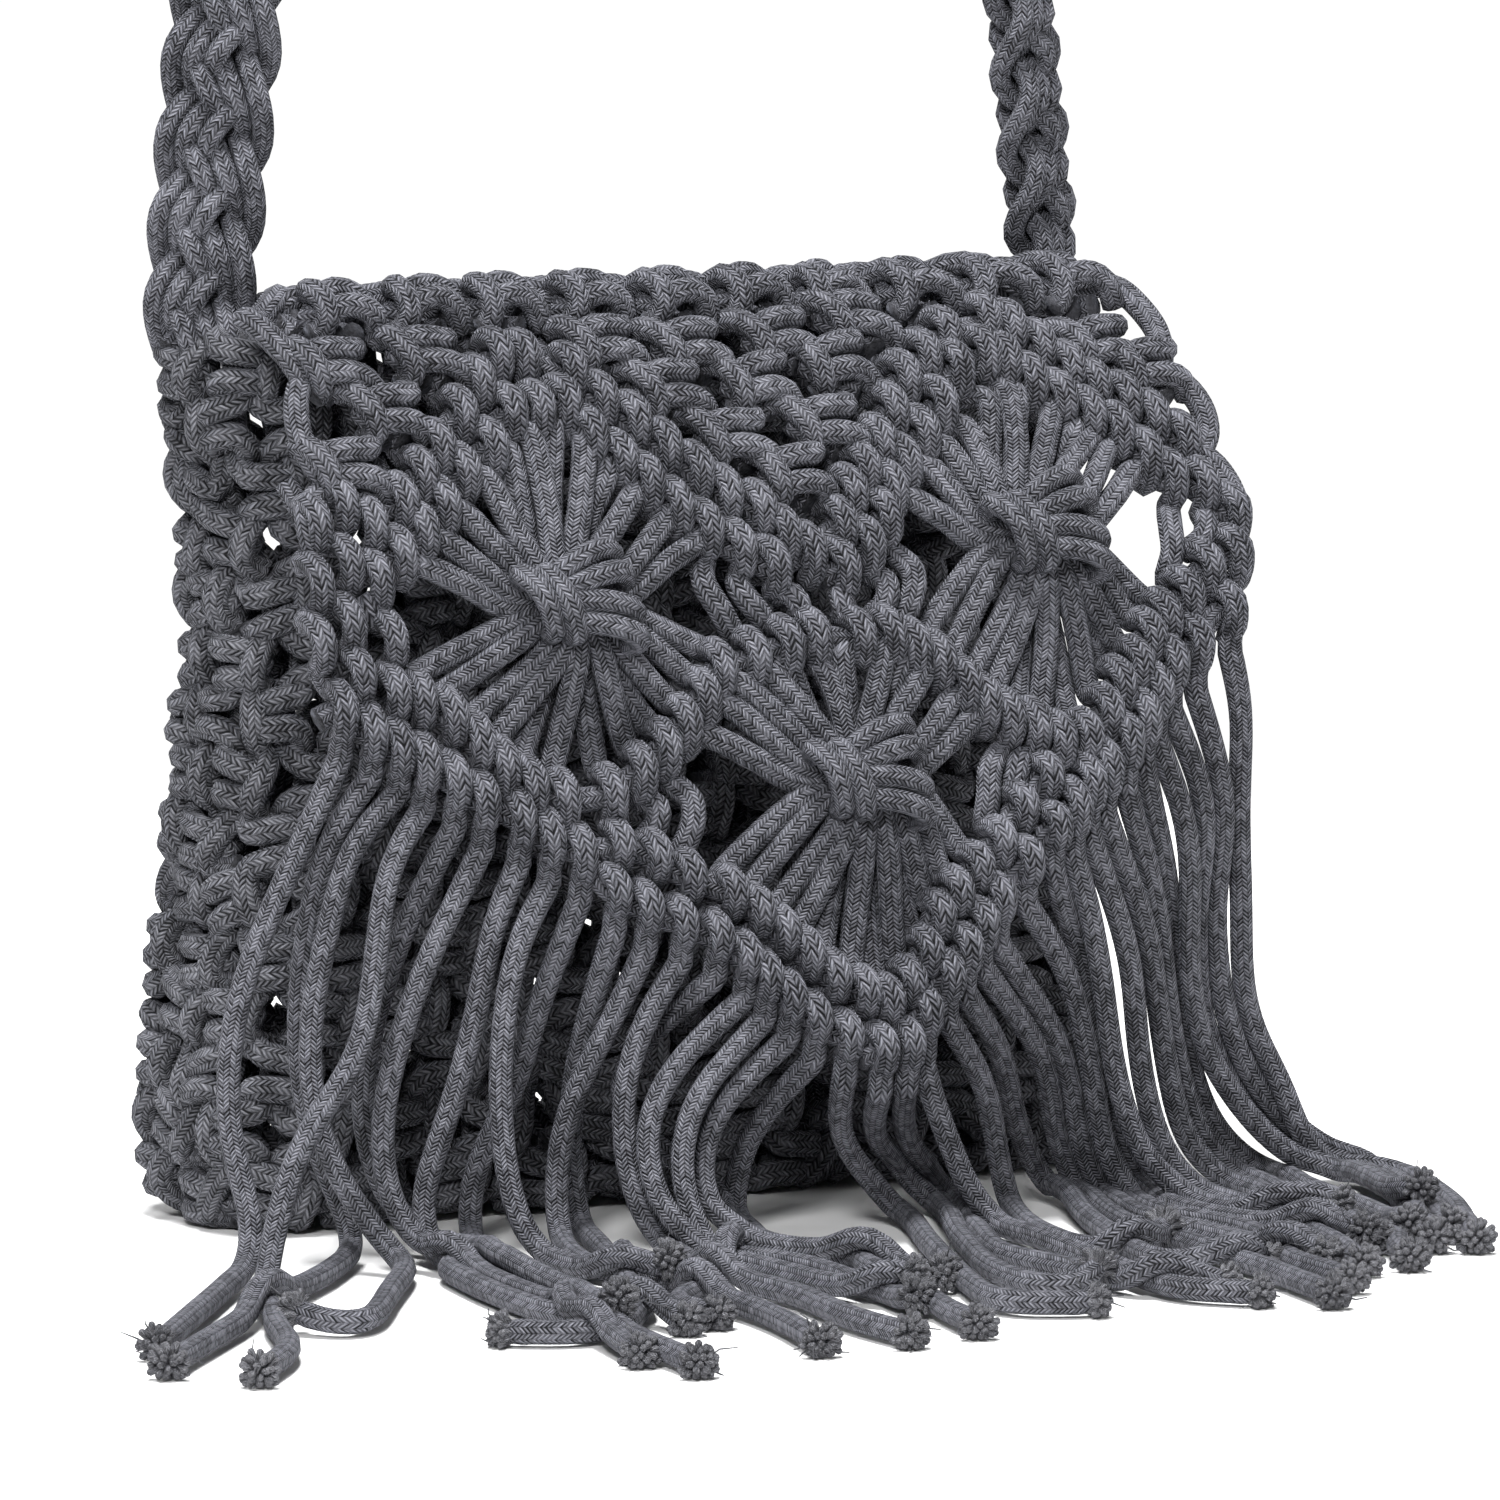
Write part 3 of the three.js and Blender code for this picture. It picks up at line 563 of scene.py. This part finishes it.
def make_flap():
    """The flap's cords, and the path of each of the 36 that run on into the fringe."""
    strands = Strands()
    ends = {}
    for k in range(36):
        path = on_flap(curve(flap_cord(k), 1.7))
        strands.add(path, radius=np.append(np.full(len(path) - 3, CORD), FLAP_TAIL))
        ends[k] = path
    for name, row in ROWS.items():
        if name in "abcd":
            continue
        order = sorted(row)
        sides = [[k for k in order if k < 18], [k for k in order if k >= 18]]
        for run in [order] if name in "OIPJU" else sides:
            if len(run) > 1:
                strands.add(on_flap(curve(make_leader(run, row), 3.0)), sides=8)
    for loop in EDGE_LOOPS:
        strands.add(on_flap(curve([(x, down_signed(h), d) for x, h, d in loop], 1.7)))
    front = [(x, float(down(h))) for x, h in TOP_KNOTS]
    scales = np.tile([0.88, 1.0], (len(front), 1))
    knots(strands, front, scales, flap_place, mirror=1, sides=10)
    crest = [(x, 1.2) for x in CREST_KNOTS]
    scales = np.tile([0.86, 0.98], (len(crest), 1))
    knots(strands, crest, scales, crest_place, mirror=1, sides=10)
    arch = []
    for row, s in enumerate(ARCH_ROWS):
        count = 10 if row % 2 else 11
        arch += [((j - (count - 1) / 2) * ARCH_COLUMN, s) for j in range(count)]
    scales = np.tile([0.83, 1.0], (len(arch), 1))
    knots(strands, arch, scales, flap_place, mirror=1, sides=8, radius=NET_CORD, loose=1.3)
    return strands, ends


def make_flower_knot(number):
    """The tie of one flower, over the middle of its fans."""
    strands = Strands()
    cx, ch = FLOWERS[number]
    mid = float(down(ch))
    rise, lifted = 1.06, 1.6
    for points in FLOWER_KNOT:
        path = [(cx + x, mid - up, d * rise + lifted) for x, up, d in points]
        strands.add(on_flap(curve(path, 1.4)), radius=TIE_CORD, sides=12)
    return strands


# Body: rows of square knots, each row half a knot along from the one below
AROUND, FIRST_ROW, ROW_PITCH, ROW_COUNT = 24, 9.5, 13.6, 15
LOWEST_CORD = 3.4

# Waves in the walls: how deep, and how fast they turn with the share round and with the height
WAVES = ((0.45, 63, 0.11), (0.35, 40, 0.23))

# Knots of the base: how far apart both ways, how high, and the share of their depth that stays
BASE_COLUMN, BASE_ROW, BASE_HEIGHT, BASE_FLAT = 23.0, 12.6, 7.4, 0.62


def body_place(centres, x, up, out):
    """Knots' own x, up and out, moved onto the walls, which are a little uneven."""
    height = np.maximum(centres[:, 1:2] + up, LOWEST_CORD)
    _, _, _, front, side = round_body(height)
    share = centres[:, :1] + x / (2 * (front + side))
    wave = sum(deep * np.sin(share * around + height * upward) for deep, around, upward in WAVES)
    return on_body(share, height, out - 1.0 + wave)


def wall_of(way, front, side):
    """The wall that a way round the body from its front's left edge is on."""
    edges = ((front, "front"), (front + side, "right"), (2 * front + side, "back"))
    return next((name for edge, name in edges if way < edge), "left")


def make_body():
    """The knots of the four walls, wall by wall."""
    walls = {name: Strands() for name in ("front", "right", "back", "left")}
    groups = {name: ([], []) for name in walls}
    for row in range(ROW_COUNT):
        height = FIRST_ROW + ROW_PITCH * row
        _, _, _, front, side = round_body(height)
        whole = 2 * (front + side)
        for j in range(AROUND):
            share = (j + 0.5 * (row % 2) + 0.25) / AROUND
            centres, scales = groups[wall_of((share % 1.0) * whole, front, side)]
            centres.append((share, height))
            scales.append((whole / AROUND / KNOT_WIDE, ROW_PITCH / KNOT_HIGH))
    for name, (centres, scales) in groups.items():
        look = {"radius": FAR_CORD if name in ("back", "right") else NET_CORD, "loose": 1.9}
        knots(walls[name], centres, np.array(scales), body_place, mirror=-1, sides=8, step=2.4, **look)
    return walls


def base_place(centres, x, up, out):
    return np.stack([centres[:, :1] + x, centres[:, 1:2] + up, BASE_HEIGHT - BASE_FLAT * out], -1)


def make_base():
    """Four rows of knots on the underside."""
    strands = Strands()
    centres = []
    for row in range(4):
        count = 9 if row % 2 else 10
        centres += [((j - (count - 1) / 2) * BASE_COLUMN, (row - 1.5) * BASE_ROW) for j in range(count)]
    scales = np.tile([0.87, 0.93], (len(centres), 1))
    knots(strands, centres, scales, base_place, mirror=-1, sides=8, step=2.4, radius=NET_CORD, loose=1.4)
    return strands


# Strap: the CAD's path and facing, with three strands of three cords braided along it
STRAP = [(0.0, 1.0), (0.22, 0.885), (0.46, 0.76), (0.7, 0.64), (0.86, 0.54), (0.95, 0.4), (0.99, 0.2)]
BRAID_PERIOD, BRAID_SWING, BRAID_DEPTH, LANE, LANE_TILT = 56.5, 6.2, 4.6, 5.15, 1.4
ROOT_TURN = math.radians(50.0)

# The place of a lobe over each root, and the share of a turn that the braid has made there
LEFT_LOBE, LEFT_SHARE = 44.0, 0.0833
RIGHT_LOBE, RIGHT_SHARE = 47.2, 0.25


def strap_line():
    """Places along the strap, the way along, and the directions across it and out of its face."""
    over = STRAP_THICKNESS / 2
    half = [(-w * STRAP_ROOT, -2 * (1 - h), h * (STRAP_RISE + over) - STRAP_RISE) for h, w in STRAP]
    points = half + [(0, 0, over)] + [(-x, y, z) for x, y, z in reversed(half)]
    path = curve(np.array(points), 1.0)
    run = np.concatenate([[0], np.cumsum(np.linalg.norm(np.diff(path, axis=0), axis=1))])
    at = np.linspace(0, run[-1], int(run[-1] / 2.6))
    path = np.stack([np.interp(at, run, path[:, i]) for i in range(3)], -1)
    ahead = unit(np.gradient(path, axis=0))
    part = np.clip(1 + path[:, 2] / STRAP_RISE, 0, 1)
    turn = ROOT_TURN * (1 - part * part * (3 - 2 * part))
    outward = unit(np.stack([-ahead[:, 2], 0 * turn, ahead[:, 0]], -1))
    face = outward * np.cos(turn)[:, None] + np.stack([0 * turn, -np.sin(turn), 0 * turn], -1)
    face = unit(face - ahead * (face * ahead).sum(-1, keepdims=True))
    return path, at, np.cross(ahead, face), face


def make_strap():
    """Three strands of three cords each, braided down both sides from the top of the arch."""
    path, at, across, face = strap_line()
    strands = Strands()
    whole = at[-1]
    taper, taper_length, crown, blend = 0.2, 14.0, 18.0, 120.0
    narrow = 1 - taper * np.exp(-np.minimum(at, whole - at) / taper_length)
    past = at - whole / 2
    low = np.hypot(past, crown)
    left = LEFT_SHARE - (whole / 2 - LEFT_LOBE) / BRAID_PERIOD
    right = RIGHT_SHARE - (whole / 2 - RIGHT_LOBE) / BRAID_PERIOD
    change = (right - left + 1 / 6) % (1 / 3) - 1 / 6
    begin = left + change * np.clip(past / blend + 0.5, 0, 1)
    for strand in range(3):
        phase = 2 * np.pi * (low / BRAID_PERIOD + strand / 3 + begin)
        x, y = BRAID_SWING * np.sin(phase), BRAID_DEPTH * np.sin(2 * phase)
        slope = BRAID_SWING * 2 * np.pi / BRAID_PERIOD * np.cos(phase) * past / low
        for lane in (-1, 0, 1):
            cx = (x + lane * LANE * np.sqrt(1 + slope**2)) * narrow
            cy = y - LANE_TILT * lane * np.sin(phase) * np.sin(2 * phase)
            cord = path + across * cx[:, None] + face * cy[:, None]
            cord[:, 2] -= FLOOR
            strands.add(cord, radius=STRAP_CORD)
    return strands


# Fringe: for each cord the places that it hangs through, as x, y and height, then the places
# on the floor that it trails through to its tip
ROUTES = {
    0: ([(-121, -66, 107), (-130, -69, 84), (-142, -72, 60), (-148, -80, 32), (-146, -90, 10)],
        [(-149, -90), (-179, -128), (-213, -172)]),
    1: ([(-114, -65, 97), (-119, -63, 75), (-122, -64, 51), (-120, -68, 27), (-113, -73, 9)],
        [(-113, -74), (-136, -103), (-157, -124), (-186, -156), (-222, -195)]),
    2: ([(-110, -69, 97), (-117, -70, 77), (-123, -72, 56), (-125, -79, 32), (-117, -89, 11)],
        [(-112, -95), (-135, -132), (-163, -168), (-171, -157)]),
    3: ([(-105, -77, 92), (-113, -85, 72), (-122, -94, 51), (-139, -98, 33), (-151, -106, 11)],
        [(-154, -109), (-177, -157), (-192, -193), (-210, -214)]),
    4: ([(-94, -71, 98), (-96, -70, 79), (-102, -66, 59), (-106, -64, 35), (-100, -67, 11)],
        [(-92, -72), (-102, -123), (-108, -161), (-117, -200)]),
    5: ([(-86, -77, 91), (-95, -78, 71), (-104, -79, 51), (-110, -81, 30), (-109, -86, 12)],
        [(-102, -94), (-110, -147), (-118, -191), (-128, -232)]),
    6: ([(-80, -80, 77), (-85, -81, 56), (-92, -81, 34), (-100, -80, 11)],
        [(-97, -83), (-112, -142), (-117, -196), (-124, -250)]),
    7: ([(-76, -85, 74), (-83, -90, 55), (-87, -96, 33), (-87, -105, 10)],
        [(-83, -112), (-83, -139), (-74, -154)]),
    8: ([(-63, -83, 80), (-67, -79, 59), (-72, -75, 37), (-80, -68, 16)],
        [(-79, -67), (-100, -115), (-104, -150), (-100, -174), (-98, -199)]),
    9: ([(-57, -84, 66), (-57, -78, 45), (-56, -72, 21)],
        [(-52, -70), (-78, -137), (-99, -182), (-124, -203), (-139, -194)]),
    10: ([(-51, -90, 72), (-55, -88, 51), (-63, -84, 34), (-66, -83, 15)],
         [(-65, -84), (-78, -121), (-74, -141), (-75, -170), (-78, -203), (-87, -239)]),
    11: ([(-47, -94, 57), (-55, -95, 37), (-55, -101, 13)],
         [(-50, -106), (-61, -151), (-58, -177), (-65, -215), (-65, -239)]),
    12: ([(-40, -88, 57), (-47, -80, 42), (-45, -78, 28), (-25, -83, 14)],
         [(-19, -84), (-45, -127), (-74, -164), (-90, -180), (-88, -195)]),
    13: ([(-33, -100, 58), (-45, -101, 44), (-54, -103, 29), (-54, -112, 12)],
         [(-48, -121), (-45, -150), (-45, -178), (-39, -194)]),
    14: ([(-33, -103, 49), (-43, -105, 35), (-49, -113, 13)],
         [(-44, -122), (-36, -142), (-39, -177), (-41, -205)]),
    15: ([(-29, -102, 44), (-37, -102, 30), (-40, -106, 12)],
         [(-34, -112), (-25, -128), (-20, -151), (-19, -177)]),
    16: ([(-14, -102, 46), (-17, -93, 30), (-19, -83, 15)],
         [(-17, -80), (-28, -116), (-20, -138), (-37, -198), (-45, -235)]),
    17: ([(-5, -103, 39), (-3, -99, 32), (2, -95, 24), (10, -91, 16)],
         [(24, -85), (4, -134), (-15, -181), (-24, -214), (-8, -222)]),
    18: ([(4, -103, 35), (7, -97, 29), (14, -91, 22), (24, -85, 15)],
         [(39, -75), (16, -127), (-4, -178), (-5, -200), (12, -197)]),
    19: ([(17, -98, 30), (22, -91, 23), (31, -82, 16)],
         [(48, -68), (27, -116), (11, -156), (14, -178), (15, -207), (33, -211)]),
    20: ([(16, -110, 35), (20, -111, 29), (23, -111, 22), (27, -111, 11)],
         [(33, -112), (30, -139), (25, -177), (20, -215), (31, -228)]),
    21: ([(29, -106, 44), (37, -103, 35), (42, -98, 25), (46, -94, 15)],
         [(52, -89), (35, -131), (34, -162), (56, -154)]),
    22: ([(37, -105, 53), (45, -97, 41), (53, -88, 28), (61, -80, 16)],
         [(73, -73), (52, -130), (38, -182), (50, -188), (60, -186)]),
    23: ([(43, -106, 60), (58, -96, 38), (70, -84, 14)],
         [(77, -79), (59, -131), (56, -171), (51, -206), (45, -238)]),
    24: ([(49, -106, 65), (62, -96, 40), (73, -85, 14)],
         [(81, -81), (68, -125), (69, -154), (67, -178), (67, -198)]),
    25: ([(60, -102, 59), (69, -97, 35), (77, -91, 13)],
         [(83, -90), (75, -122), (80, -146), (64, -196), (60, -222)]),
    26: ([(67, -96, 63), (77, -88, 38), (87, -80, 14)],
         [(95, -78), (84, -113), (86, -139), (92, -157), (95, -178)]),
    27: ([(66, -104, 83), (69, -102, 59), (73, -101, 35), (82, -103, 11)],
         [(91, -106), (93, -129), (102, -137), (108, -144)]),
    28: ([(73, -102, 84), (78, -100, 62), (82, -98, 36), (90, -97, 12)],
         [(99, -99), (99, -128), (89, -169), (76, -203)]),
    29: ([(78, -100, 91), (86, -95, 66), (94, -89, 39), (104, -85, 12)],
         [(115, -86), (108, -123), (100, -158), (98, -178)]),
    30: ([(85, -98, 97), (91, -91, 72), (99, -84, 43), (111, -79, 13)],
         [(123, -79), (115, -116), (106, -156), (90, -201)]),
    31: ([(92, -94, 99), (99, -85, 72), (107, -75, 44), (122, -68, 13)],
         [(135, -67), (126, -107), (120, -141), (110, -171)]),
    32: ([(99, -92, 90), (102, -87, 63), (109, -83, 36), (131, -85, 9)],
         [(144, -88), (138, -118), (127, -148)]),
    33: ([(106, -89, 95), (109, -81, 68), (116, -76, 40), (139, -76, 9)],
         [(154, -78), (139, -122), (110, -181)]),
    34: ([(108, -91, 119), (112, -88, 95), (113, -80, 66), (120, -77, 37), (140, -79, 11)],
         [(155, -83), (142, -124), (122, -170)]),
    35: ([(117, -87, 118), (118, -84, 95), (121, -81, 65), (124, -78, 37), (142, -83, 9)],
         [(157, -88), (141, -134), (118, -186)]),
}

# Cords that are closer than this are pushed apart, in so many rounds. Their middles don't go
# under the resting height, and where two meet near the floor one is lifted a little
CLOSEST, ROUNDS, RESTING = 5.6, 14, 3.1
NEAR_FLOOR, LIFT = 20.0, 0.25

# Places at a cord's beginning that stay where the flap ends
HELD = 4

# Radii over the first and the last places of a cord in the fringe
FRINGE_HEAD, FRINGE_TAIL = [2.6, 2.9, 3.0, 3.0, 2.95, 2.9, 2.85, 2.8], [2.85, 2.6]


def fringe_path(k, hung):
    """Carries on from the end of flap cord k and follows its route to the tip."""
    hang, trail = ROUTES[k]
    start = hung[-1]
    ahead = unit(hung[-1] - hung[-3])
    begin = [hung[-4], start, start + ahead * 1.5 + [0, 0.3, -1.5]]
    trail = [(x, y, RESTING + 0.1) for x, y in trail]
    rest = [np.array(p, float) for p in hang + trail if p[2] < start[2] - 12]
    return curve(np.array(begin + rest), 3.0)


def settle(paths):
    """Pushes cords apart where they lie through each other, and up from the floor."""
    sizes = [len(p) for p in paths]
    every = np.vstack(paths)
    owner = np.repeat(np.arange(len(paths)), sizes)
    first = np.concatenate([[0], np.cumsum(sizes)[:-1]])
    fixed = np.zeros(len(every), bool)
    for f in first:
        fixed[f : f + HELD] = True
    for _ in range(ROUNDS):
        move = np.zeros_like(every)
        hits = np.zeros(len(every))
        for i in range(len(paths)):
            rows = np.flatnonzero(owner == i)
            others = np.flatnonzero(owner > i)
            if len(others) == 0:
                continue
            gap = every[rows][:, None] - every[others][None]
            far = np.linalg.norm(gap, axis=-1)
            a, b = np.nonzero(far < CLOSEST)
            if len(a) == 0:
                continue
            near = far[a, b, None]
            push = gap[a, b] / np.maximum(near, 0.3) * (CLOSEST - near) * 0.5
            push[:, 2] += np.where(every[rows[a], 2] < NEAR_FLOOR, LIFT, 0.0)
            np.add.at(move, rows[a], push)
            np.add.at(move, others[b], -push)
            np.add.at(hits, rows[a], 1)
            np.add.at(hits, others[b], 1)
        move /= np.maximum(hits, 1)[:, None]
        move[fixed] = 0
        every += move
        every[:, 2] = np.maximum(every[:, 2], RESTING)
        smooth = every.copy()
        smooth[1:-1] = every[1:-1] * 0.5 + (every[:-2] + every[2:]) * 0.25
        ends = np.zeros(len(every), bool)
        ends[first] = True
        ends[first + np.array(sizes) - 1] = True
        keep = fixed | ends
        every = np.where(keep[:, None], every, smooth)
    return [every[f : f + n] for f, n in zip(first, sizes)]


def add_tuft(strands, path):
    """The frayed end of a cord: a round head of yarns, and a few loose fibres."""
    yarns, fibres, widest = 34, 7, 1.45
    ahead, r, s = frames_along(path[None, -4:])
    ahead, r, s = ahead[0, -1], r[0, -1], s[0, -1]
    end = path[-1]
    for i in range(yarns):
        turn = i * 2.4 + rng.uniform(-0.25, 0.25)
        lean = widest * math.sqrt((i + 0.5) / yarns)
        aim = r * math.cos(turn) + s * math.sin(turn)
        way = ahead * math.cos(lean) + aim * math.sin(lean)
        reach = rng.uniform(4.3, 5.0)
        root = end - ahead * 1.2 + aim * 1.6 * math.sin(lean)
        tips = [end + way * reach * 0.62 + ahead * 0.3, end + way * reach, end + way * (reach + 0.45)]
        yarn = np.stack([root] + tips)
        yarn[:, 2] = np.maximum(yarn[:, 2], 0.7)
        strands.add(yarn, radius=[0.8, 0.85, 0.85, 0.45], sides=6, kind=1)
    for _ in range(fibres):
        way = unit(ahead * rng.uniform(0.2, 1.0) + rng.normal(0, 0.55, 3))
        middle = end + way * 5.5 + rng.normal(0, 0.3, 3)
        tip = end + way * rng.uniform(6.4, 8.2) + rng.normal(0, 0.8, 3)
        fibre = np.stack([end + way * 3.5, middle, tip])
        fibre[:, 2] = np.maximum(fibre[:, 2], 0.4)
        strands.add(fibre, radius=[0.22, 0.2, 0.12], sides=4, kind=1)


def make_fringe(ends):
    """Both halves of the fringe, each cord carried on from its end on the flap."""
    paths = settle([fringe_path(k, ends[k]) for k in range(36)])
    halves = {"left": Strands(), "right": Strands()}
    for k, path in enumerate(paths):
        strands = halves["left" if k < 18 else "right"]
        thick = np.full(len(path), FRINGE_CORD)
        thick[: len(FRINGE_HEAD)] = FRINGE_HEAD
        thick[-len(FRINGE_TAIL) :] = FRINGE_TAIL
        strands.add(path, radius=thick)
        add_tuft(strands, path)
    return halves


# Material: braided cotton, with chevrons along each cord, flecked threads, a soft nap, and painted
# shade in the grooves between the stitches
class Nodes:
    """A material and short ways to make its nodes."""

    def __init__(self, name):
        self.material = bpy.data.materials.new(name)
        self.material.use_nodes = True
        self.tree = self.material.node_tree
        self.tree.nodes.clear()

    def add(self, kind, *inputs, **settings):
        node = self.tree.nodes.new(kind)
        for key, value in settings.items():
            setattr(node, key, value)
        for i, value in enumerate(inputs):
            self.put(node, i, value)
        return node

    def put(self, node, socket, value):
        if isinstance(value, bpy.types.NodeSocket):
            self.tree.links.new(value, node.inputs[socket])
        elif value is not None:
            node.inputs[socket].default_value = value

    def math(self, operation, *inputs):
        return self.add("ShaderNodeMath", *inputs, operation=operation).outputs[0]


def cord_material(name, dark_and_groove_shade, light):
    """Braided cotton between two colours, the darker of which also paints shade into its grooves."""
    chevrons, pitch, lean = 6.0, 1.0, 1.25
    # Weights of the tone: random flecks, painted shade in the grooves between stitches, broad patches and
    # the nap
    flecked, groove_shade, patched, fuzzed = 0.44, 0.56, 0.5, 0.3
    n = Nodes(name)
    uv = n.add("ShaderNodeUVMap", uv_map="cord").outputs[0]
    parts = n.add("ShaderNodeSeparateXYZ", uv)
    u, v = parts.outputs[0], parts.outputs[1]
    columns = n.math("MULTIPLY", u, chevrons)
    zigzag = n.math("MULTIPLY", n.math("PINGPONG", columns, 0.5), 2.0)
    run = n.math("MULTIPLY", v, 10.0 / pitch)
    phase = n.math("ADD", run, n.math("MULTIPLY", zigzag, lean))
    wave = n.math("SINE", n.math("MULTIPLY", phase, 2 * math.pi))
    rib = n.math("MULTIPLY_ADD", wave, 0.5, 0.5)
    edge = n.math("SINE", n.math("MULTIPLY", zigzag, math.pi))
    edge = n.math("POWER", n.math("MAXIMUM", edge, 0.0), 0.35)
    height = n.math("MULTIPLY", n.math("POWER", rib, 0.8), edge)
    stitch = n.math("FLOOR", phase)
    column = n.math("FLOOR", n.math("MULTIPLY", columns, 2.0))
    cell = n.add("ShaderNodeCombineXYZ", stitch, column, 0.0).outputs[0]
    fleck = n.add("ShaderNodeTexWhiteNoise", cell, noise_dimensions="3D").outputs[0]
    place = n.add("ShaderNodeTexCoord").outputs[3]
    broad = n.add("ShaderNodeTexNoise", place, noise_dimensions="3D")
    broad.inputs["Scale"].default_value = 38.0
    broad.inputs["Detail"].default_value = 3.0
    nap = n.add("ShaderNodeTexNoise", place, noise_dimensions="3D")
    nap.inputs["Scale"].default_value = 1500.0
    nap.inputs["Detail"].default_value = 2.0
    tone = n.math("MULTIPLY_ADD", fleck, flecked, -0.02)
    # The rib height darkens the grooves between the stitches and the seams between the chevrons: painted
    # shade
    tone = n.math("ADD", tone, n.math("MULTIPLY", height, groove_shade))
    tone = n.math("ADD", tone, n.math("MULTIPLY_ADD", broad.outputs[0], patched, -patched / 2))
    tone = n.math("ADD", tone, n.math("MULTIPLY_ADD", nap.outputs[0], fuzzed, -fuzzed / 2))
    ramp = n.add("ShaderNodeValToRGB", tone)
    ramp.color_ramp.elements[0].position = 0.17
    ramp.color_ramp.elements[0].color = (*dark_and_groove_shade, 1)
    ramp.color_ramp.elements[1].position = 0.95
    ramp.color_ramp.elements[1].color = (*light, 1)
    bumped = n.math("ADD", height, n.math("MULTIPLY", nap.outputs[0], 0.5))
    bump = n.add("ShaderNodeBump")
    bump.inputs["Strength"].default_value = 1.0
    bump.inputs["Distance"].default_value = 0.0006
    n.put(bump, "Height", bumped)
    shader = n.add("ShaderNodeBsdfPrincipled")
    n.put(shader, "Base Color", ramp.outputs[0])
    shader.inputs["Roughness"].default_value = 0.92
    shader.inputs["Specular IOR Level"].default_value = 0.25
    shader.inputs["Sheen Weight"].default_value = 0.12
    shader.inputs["Sheen Roughness"].default_value = 0.45
    shader.inputs["Sheen Tint"].default_value = (0.62, 0.65, 0.78, 1)
    n.put(shader, "Normal", bump.outputs[0])
    out = n.add("ShaderNodeOutputMaterial")
    n.tree.links.new(shader.outputs[0], out.inputs[0])
    return n.material


def add_studio():
    """A round white floor, a white wall all round at the horizon, and soft lights."""
    floor = bpy.data.meshes.new("floor")
    reach, sides, z = 0.85, 64, FLOOR * 0.001 - 0.0004
    turns = [2 * math.pi * i / sides for i in range(sides)]
    edge = [(reach * math.cos(turn), reach * math.sin(turn), z) for turn in turns]
    floor.from_pydata(edge, [], [list(range(sides))])
    paper = Nodes("paper")
    shader = paper.add("ShaderNodeBsdfPrincipled")
    shader.inputs["Base Color"].default_value = (0.93, 0.93, 0.93, 1)
    shader.inputs["Roughness"].default_value = 0.9
    out = paper.add("ShaderNodeOutputMaterial")
    paper.tree.links.new(shader.outputs[0], out.inputs[0])
    floor.materials.append(paper.material)
    plane = bpy.data.objects.new("floor", floor)
    bpy.context.scene.collection.objects.link(plane)

    # The wall is white at the horizon and below it, and the ceiling is dim
    world = bpy.data.worlds.new("studio")
    world.use_nodes = True
    tree = world.node_tree
    place = tree.nodes.new("ShaderNodeTexCoord")
    parts = tree.nodes.new("ShaderNodeSeparateXYZ")
    tree.links.new(place.outputs[0], parts.inputs[0])
    ramp = tree.nodes.new("ShaderNodeMapRange")
    ramp.inputs["From Min"].default_value = 0.0
    ramp.inputs["From Max"].default_value = 0.16
    ramp.inputs["To Min"].default_value = 1.04
    ramp.inputs["To Max"].default_value = 0.13
    tree.links.new(parts.outputs[2], ramp.inputs[0])
    tree.links.new(ramp.outputs[0], tree.nodes["Background"].inputs[1])
    tree.nodes["Background"].inputs[0].default_value = (1, 1, 1, 1)
    bpy.context.scene.world = world

    def soft_light(name, place, aim, size, power):
        data = bpy.data.lights.new(name, "AREA")
        data.shape = "DISK"
        data.size = size
        data.energy = power
        lamp = bpy.data.objects.new(name, data)
        bpy.context.scene.collection.objects.link(lamp)
        lamp.location = place
        lamp.rotation_euler = (Vector(aim) - Vector(place)).to_track_quat("-Z", "Y").to_euler()

    soft_light("top", (-0.5, -0.5, 2.3), (0.1, 0.1, -0.7), 1.1, 175)
    soft_light("key", (-1.9, -2.6, 1.0), (0, 0, -0.6), 0.7, 100)
    soft_light("fill", (2.4, -1.8, 0.5), (0, 0, -0.6), 1.4, 10)
    soft_light("back", (0.9, 2.6, 0.9), (0, 0, -0.6), 1.2, 45)


bpy.context.scene.view_settings.view_transform = "Standard"
add_camera()
# Each near-black low colour takes the random flecks and the painted shade in the grooves
cord = cord_material("cord_cotton", (0.001, 0.001, 0.0015), (0.235, 0.237, 0.272))
# The net cotton is the cord cotton made darker: painted shade on the walls and on the bag's inside seen
# through the gaps
net = cord_material("net_cotton_shaded", (0.001, 0.001, 0.0015), (0.2, 0.202, 0.226))
frayed = cord_material("frayed_cotton", (0.03, 0.03, 0.033), (0.4, 0.4, 0.43))

flap, cord_ends = make_flap()
flap.build("flap_cords", [cord], "cord", ["flap"])
for number, side in ((1, "left"), (2, "right"), (3, "low")):
    make_flower_knot(number).build(f"flower_tie_{side}", [cord], "cord", [f"flower_knot_{side}"])
for side, strands in make_fringe(cord_ends).items():
    strands.build(f"fringe_cords_{side}", [cord, frayed], "cord", [f"fringe_{side}"])
make_strap().build("braided_strap", [cord], "cord", ["strap"])
walls = make_body()
walls["front"].build("front_net", [net], "net", ["front_panel"])
walls["back"].build("back_net", [net], "net", ["back_panel"])
walls["left"].build("left_net", [net], "net", ["left_gusset"])
walls["right"].build("right_net", [net], "net", ["right_gusset"])
make_base().build("base_net", [net], "net", ["base"])
add_studio()
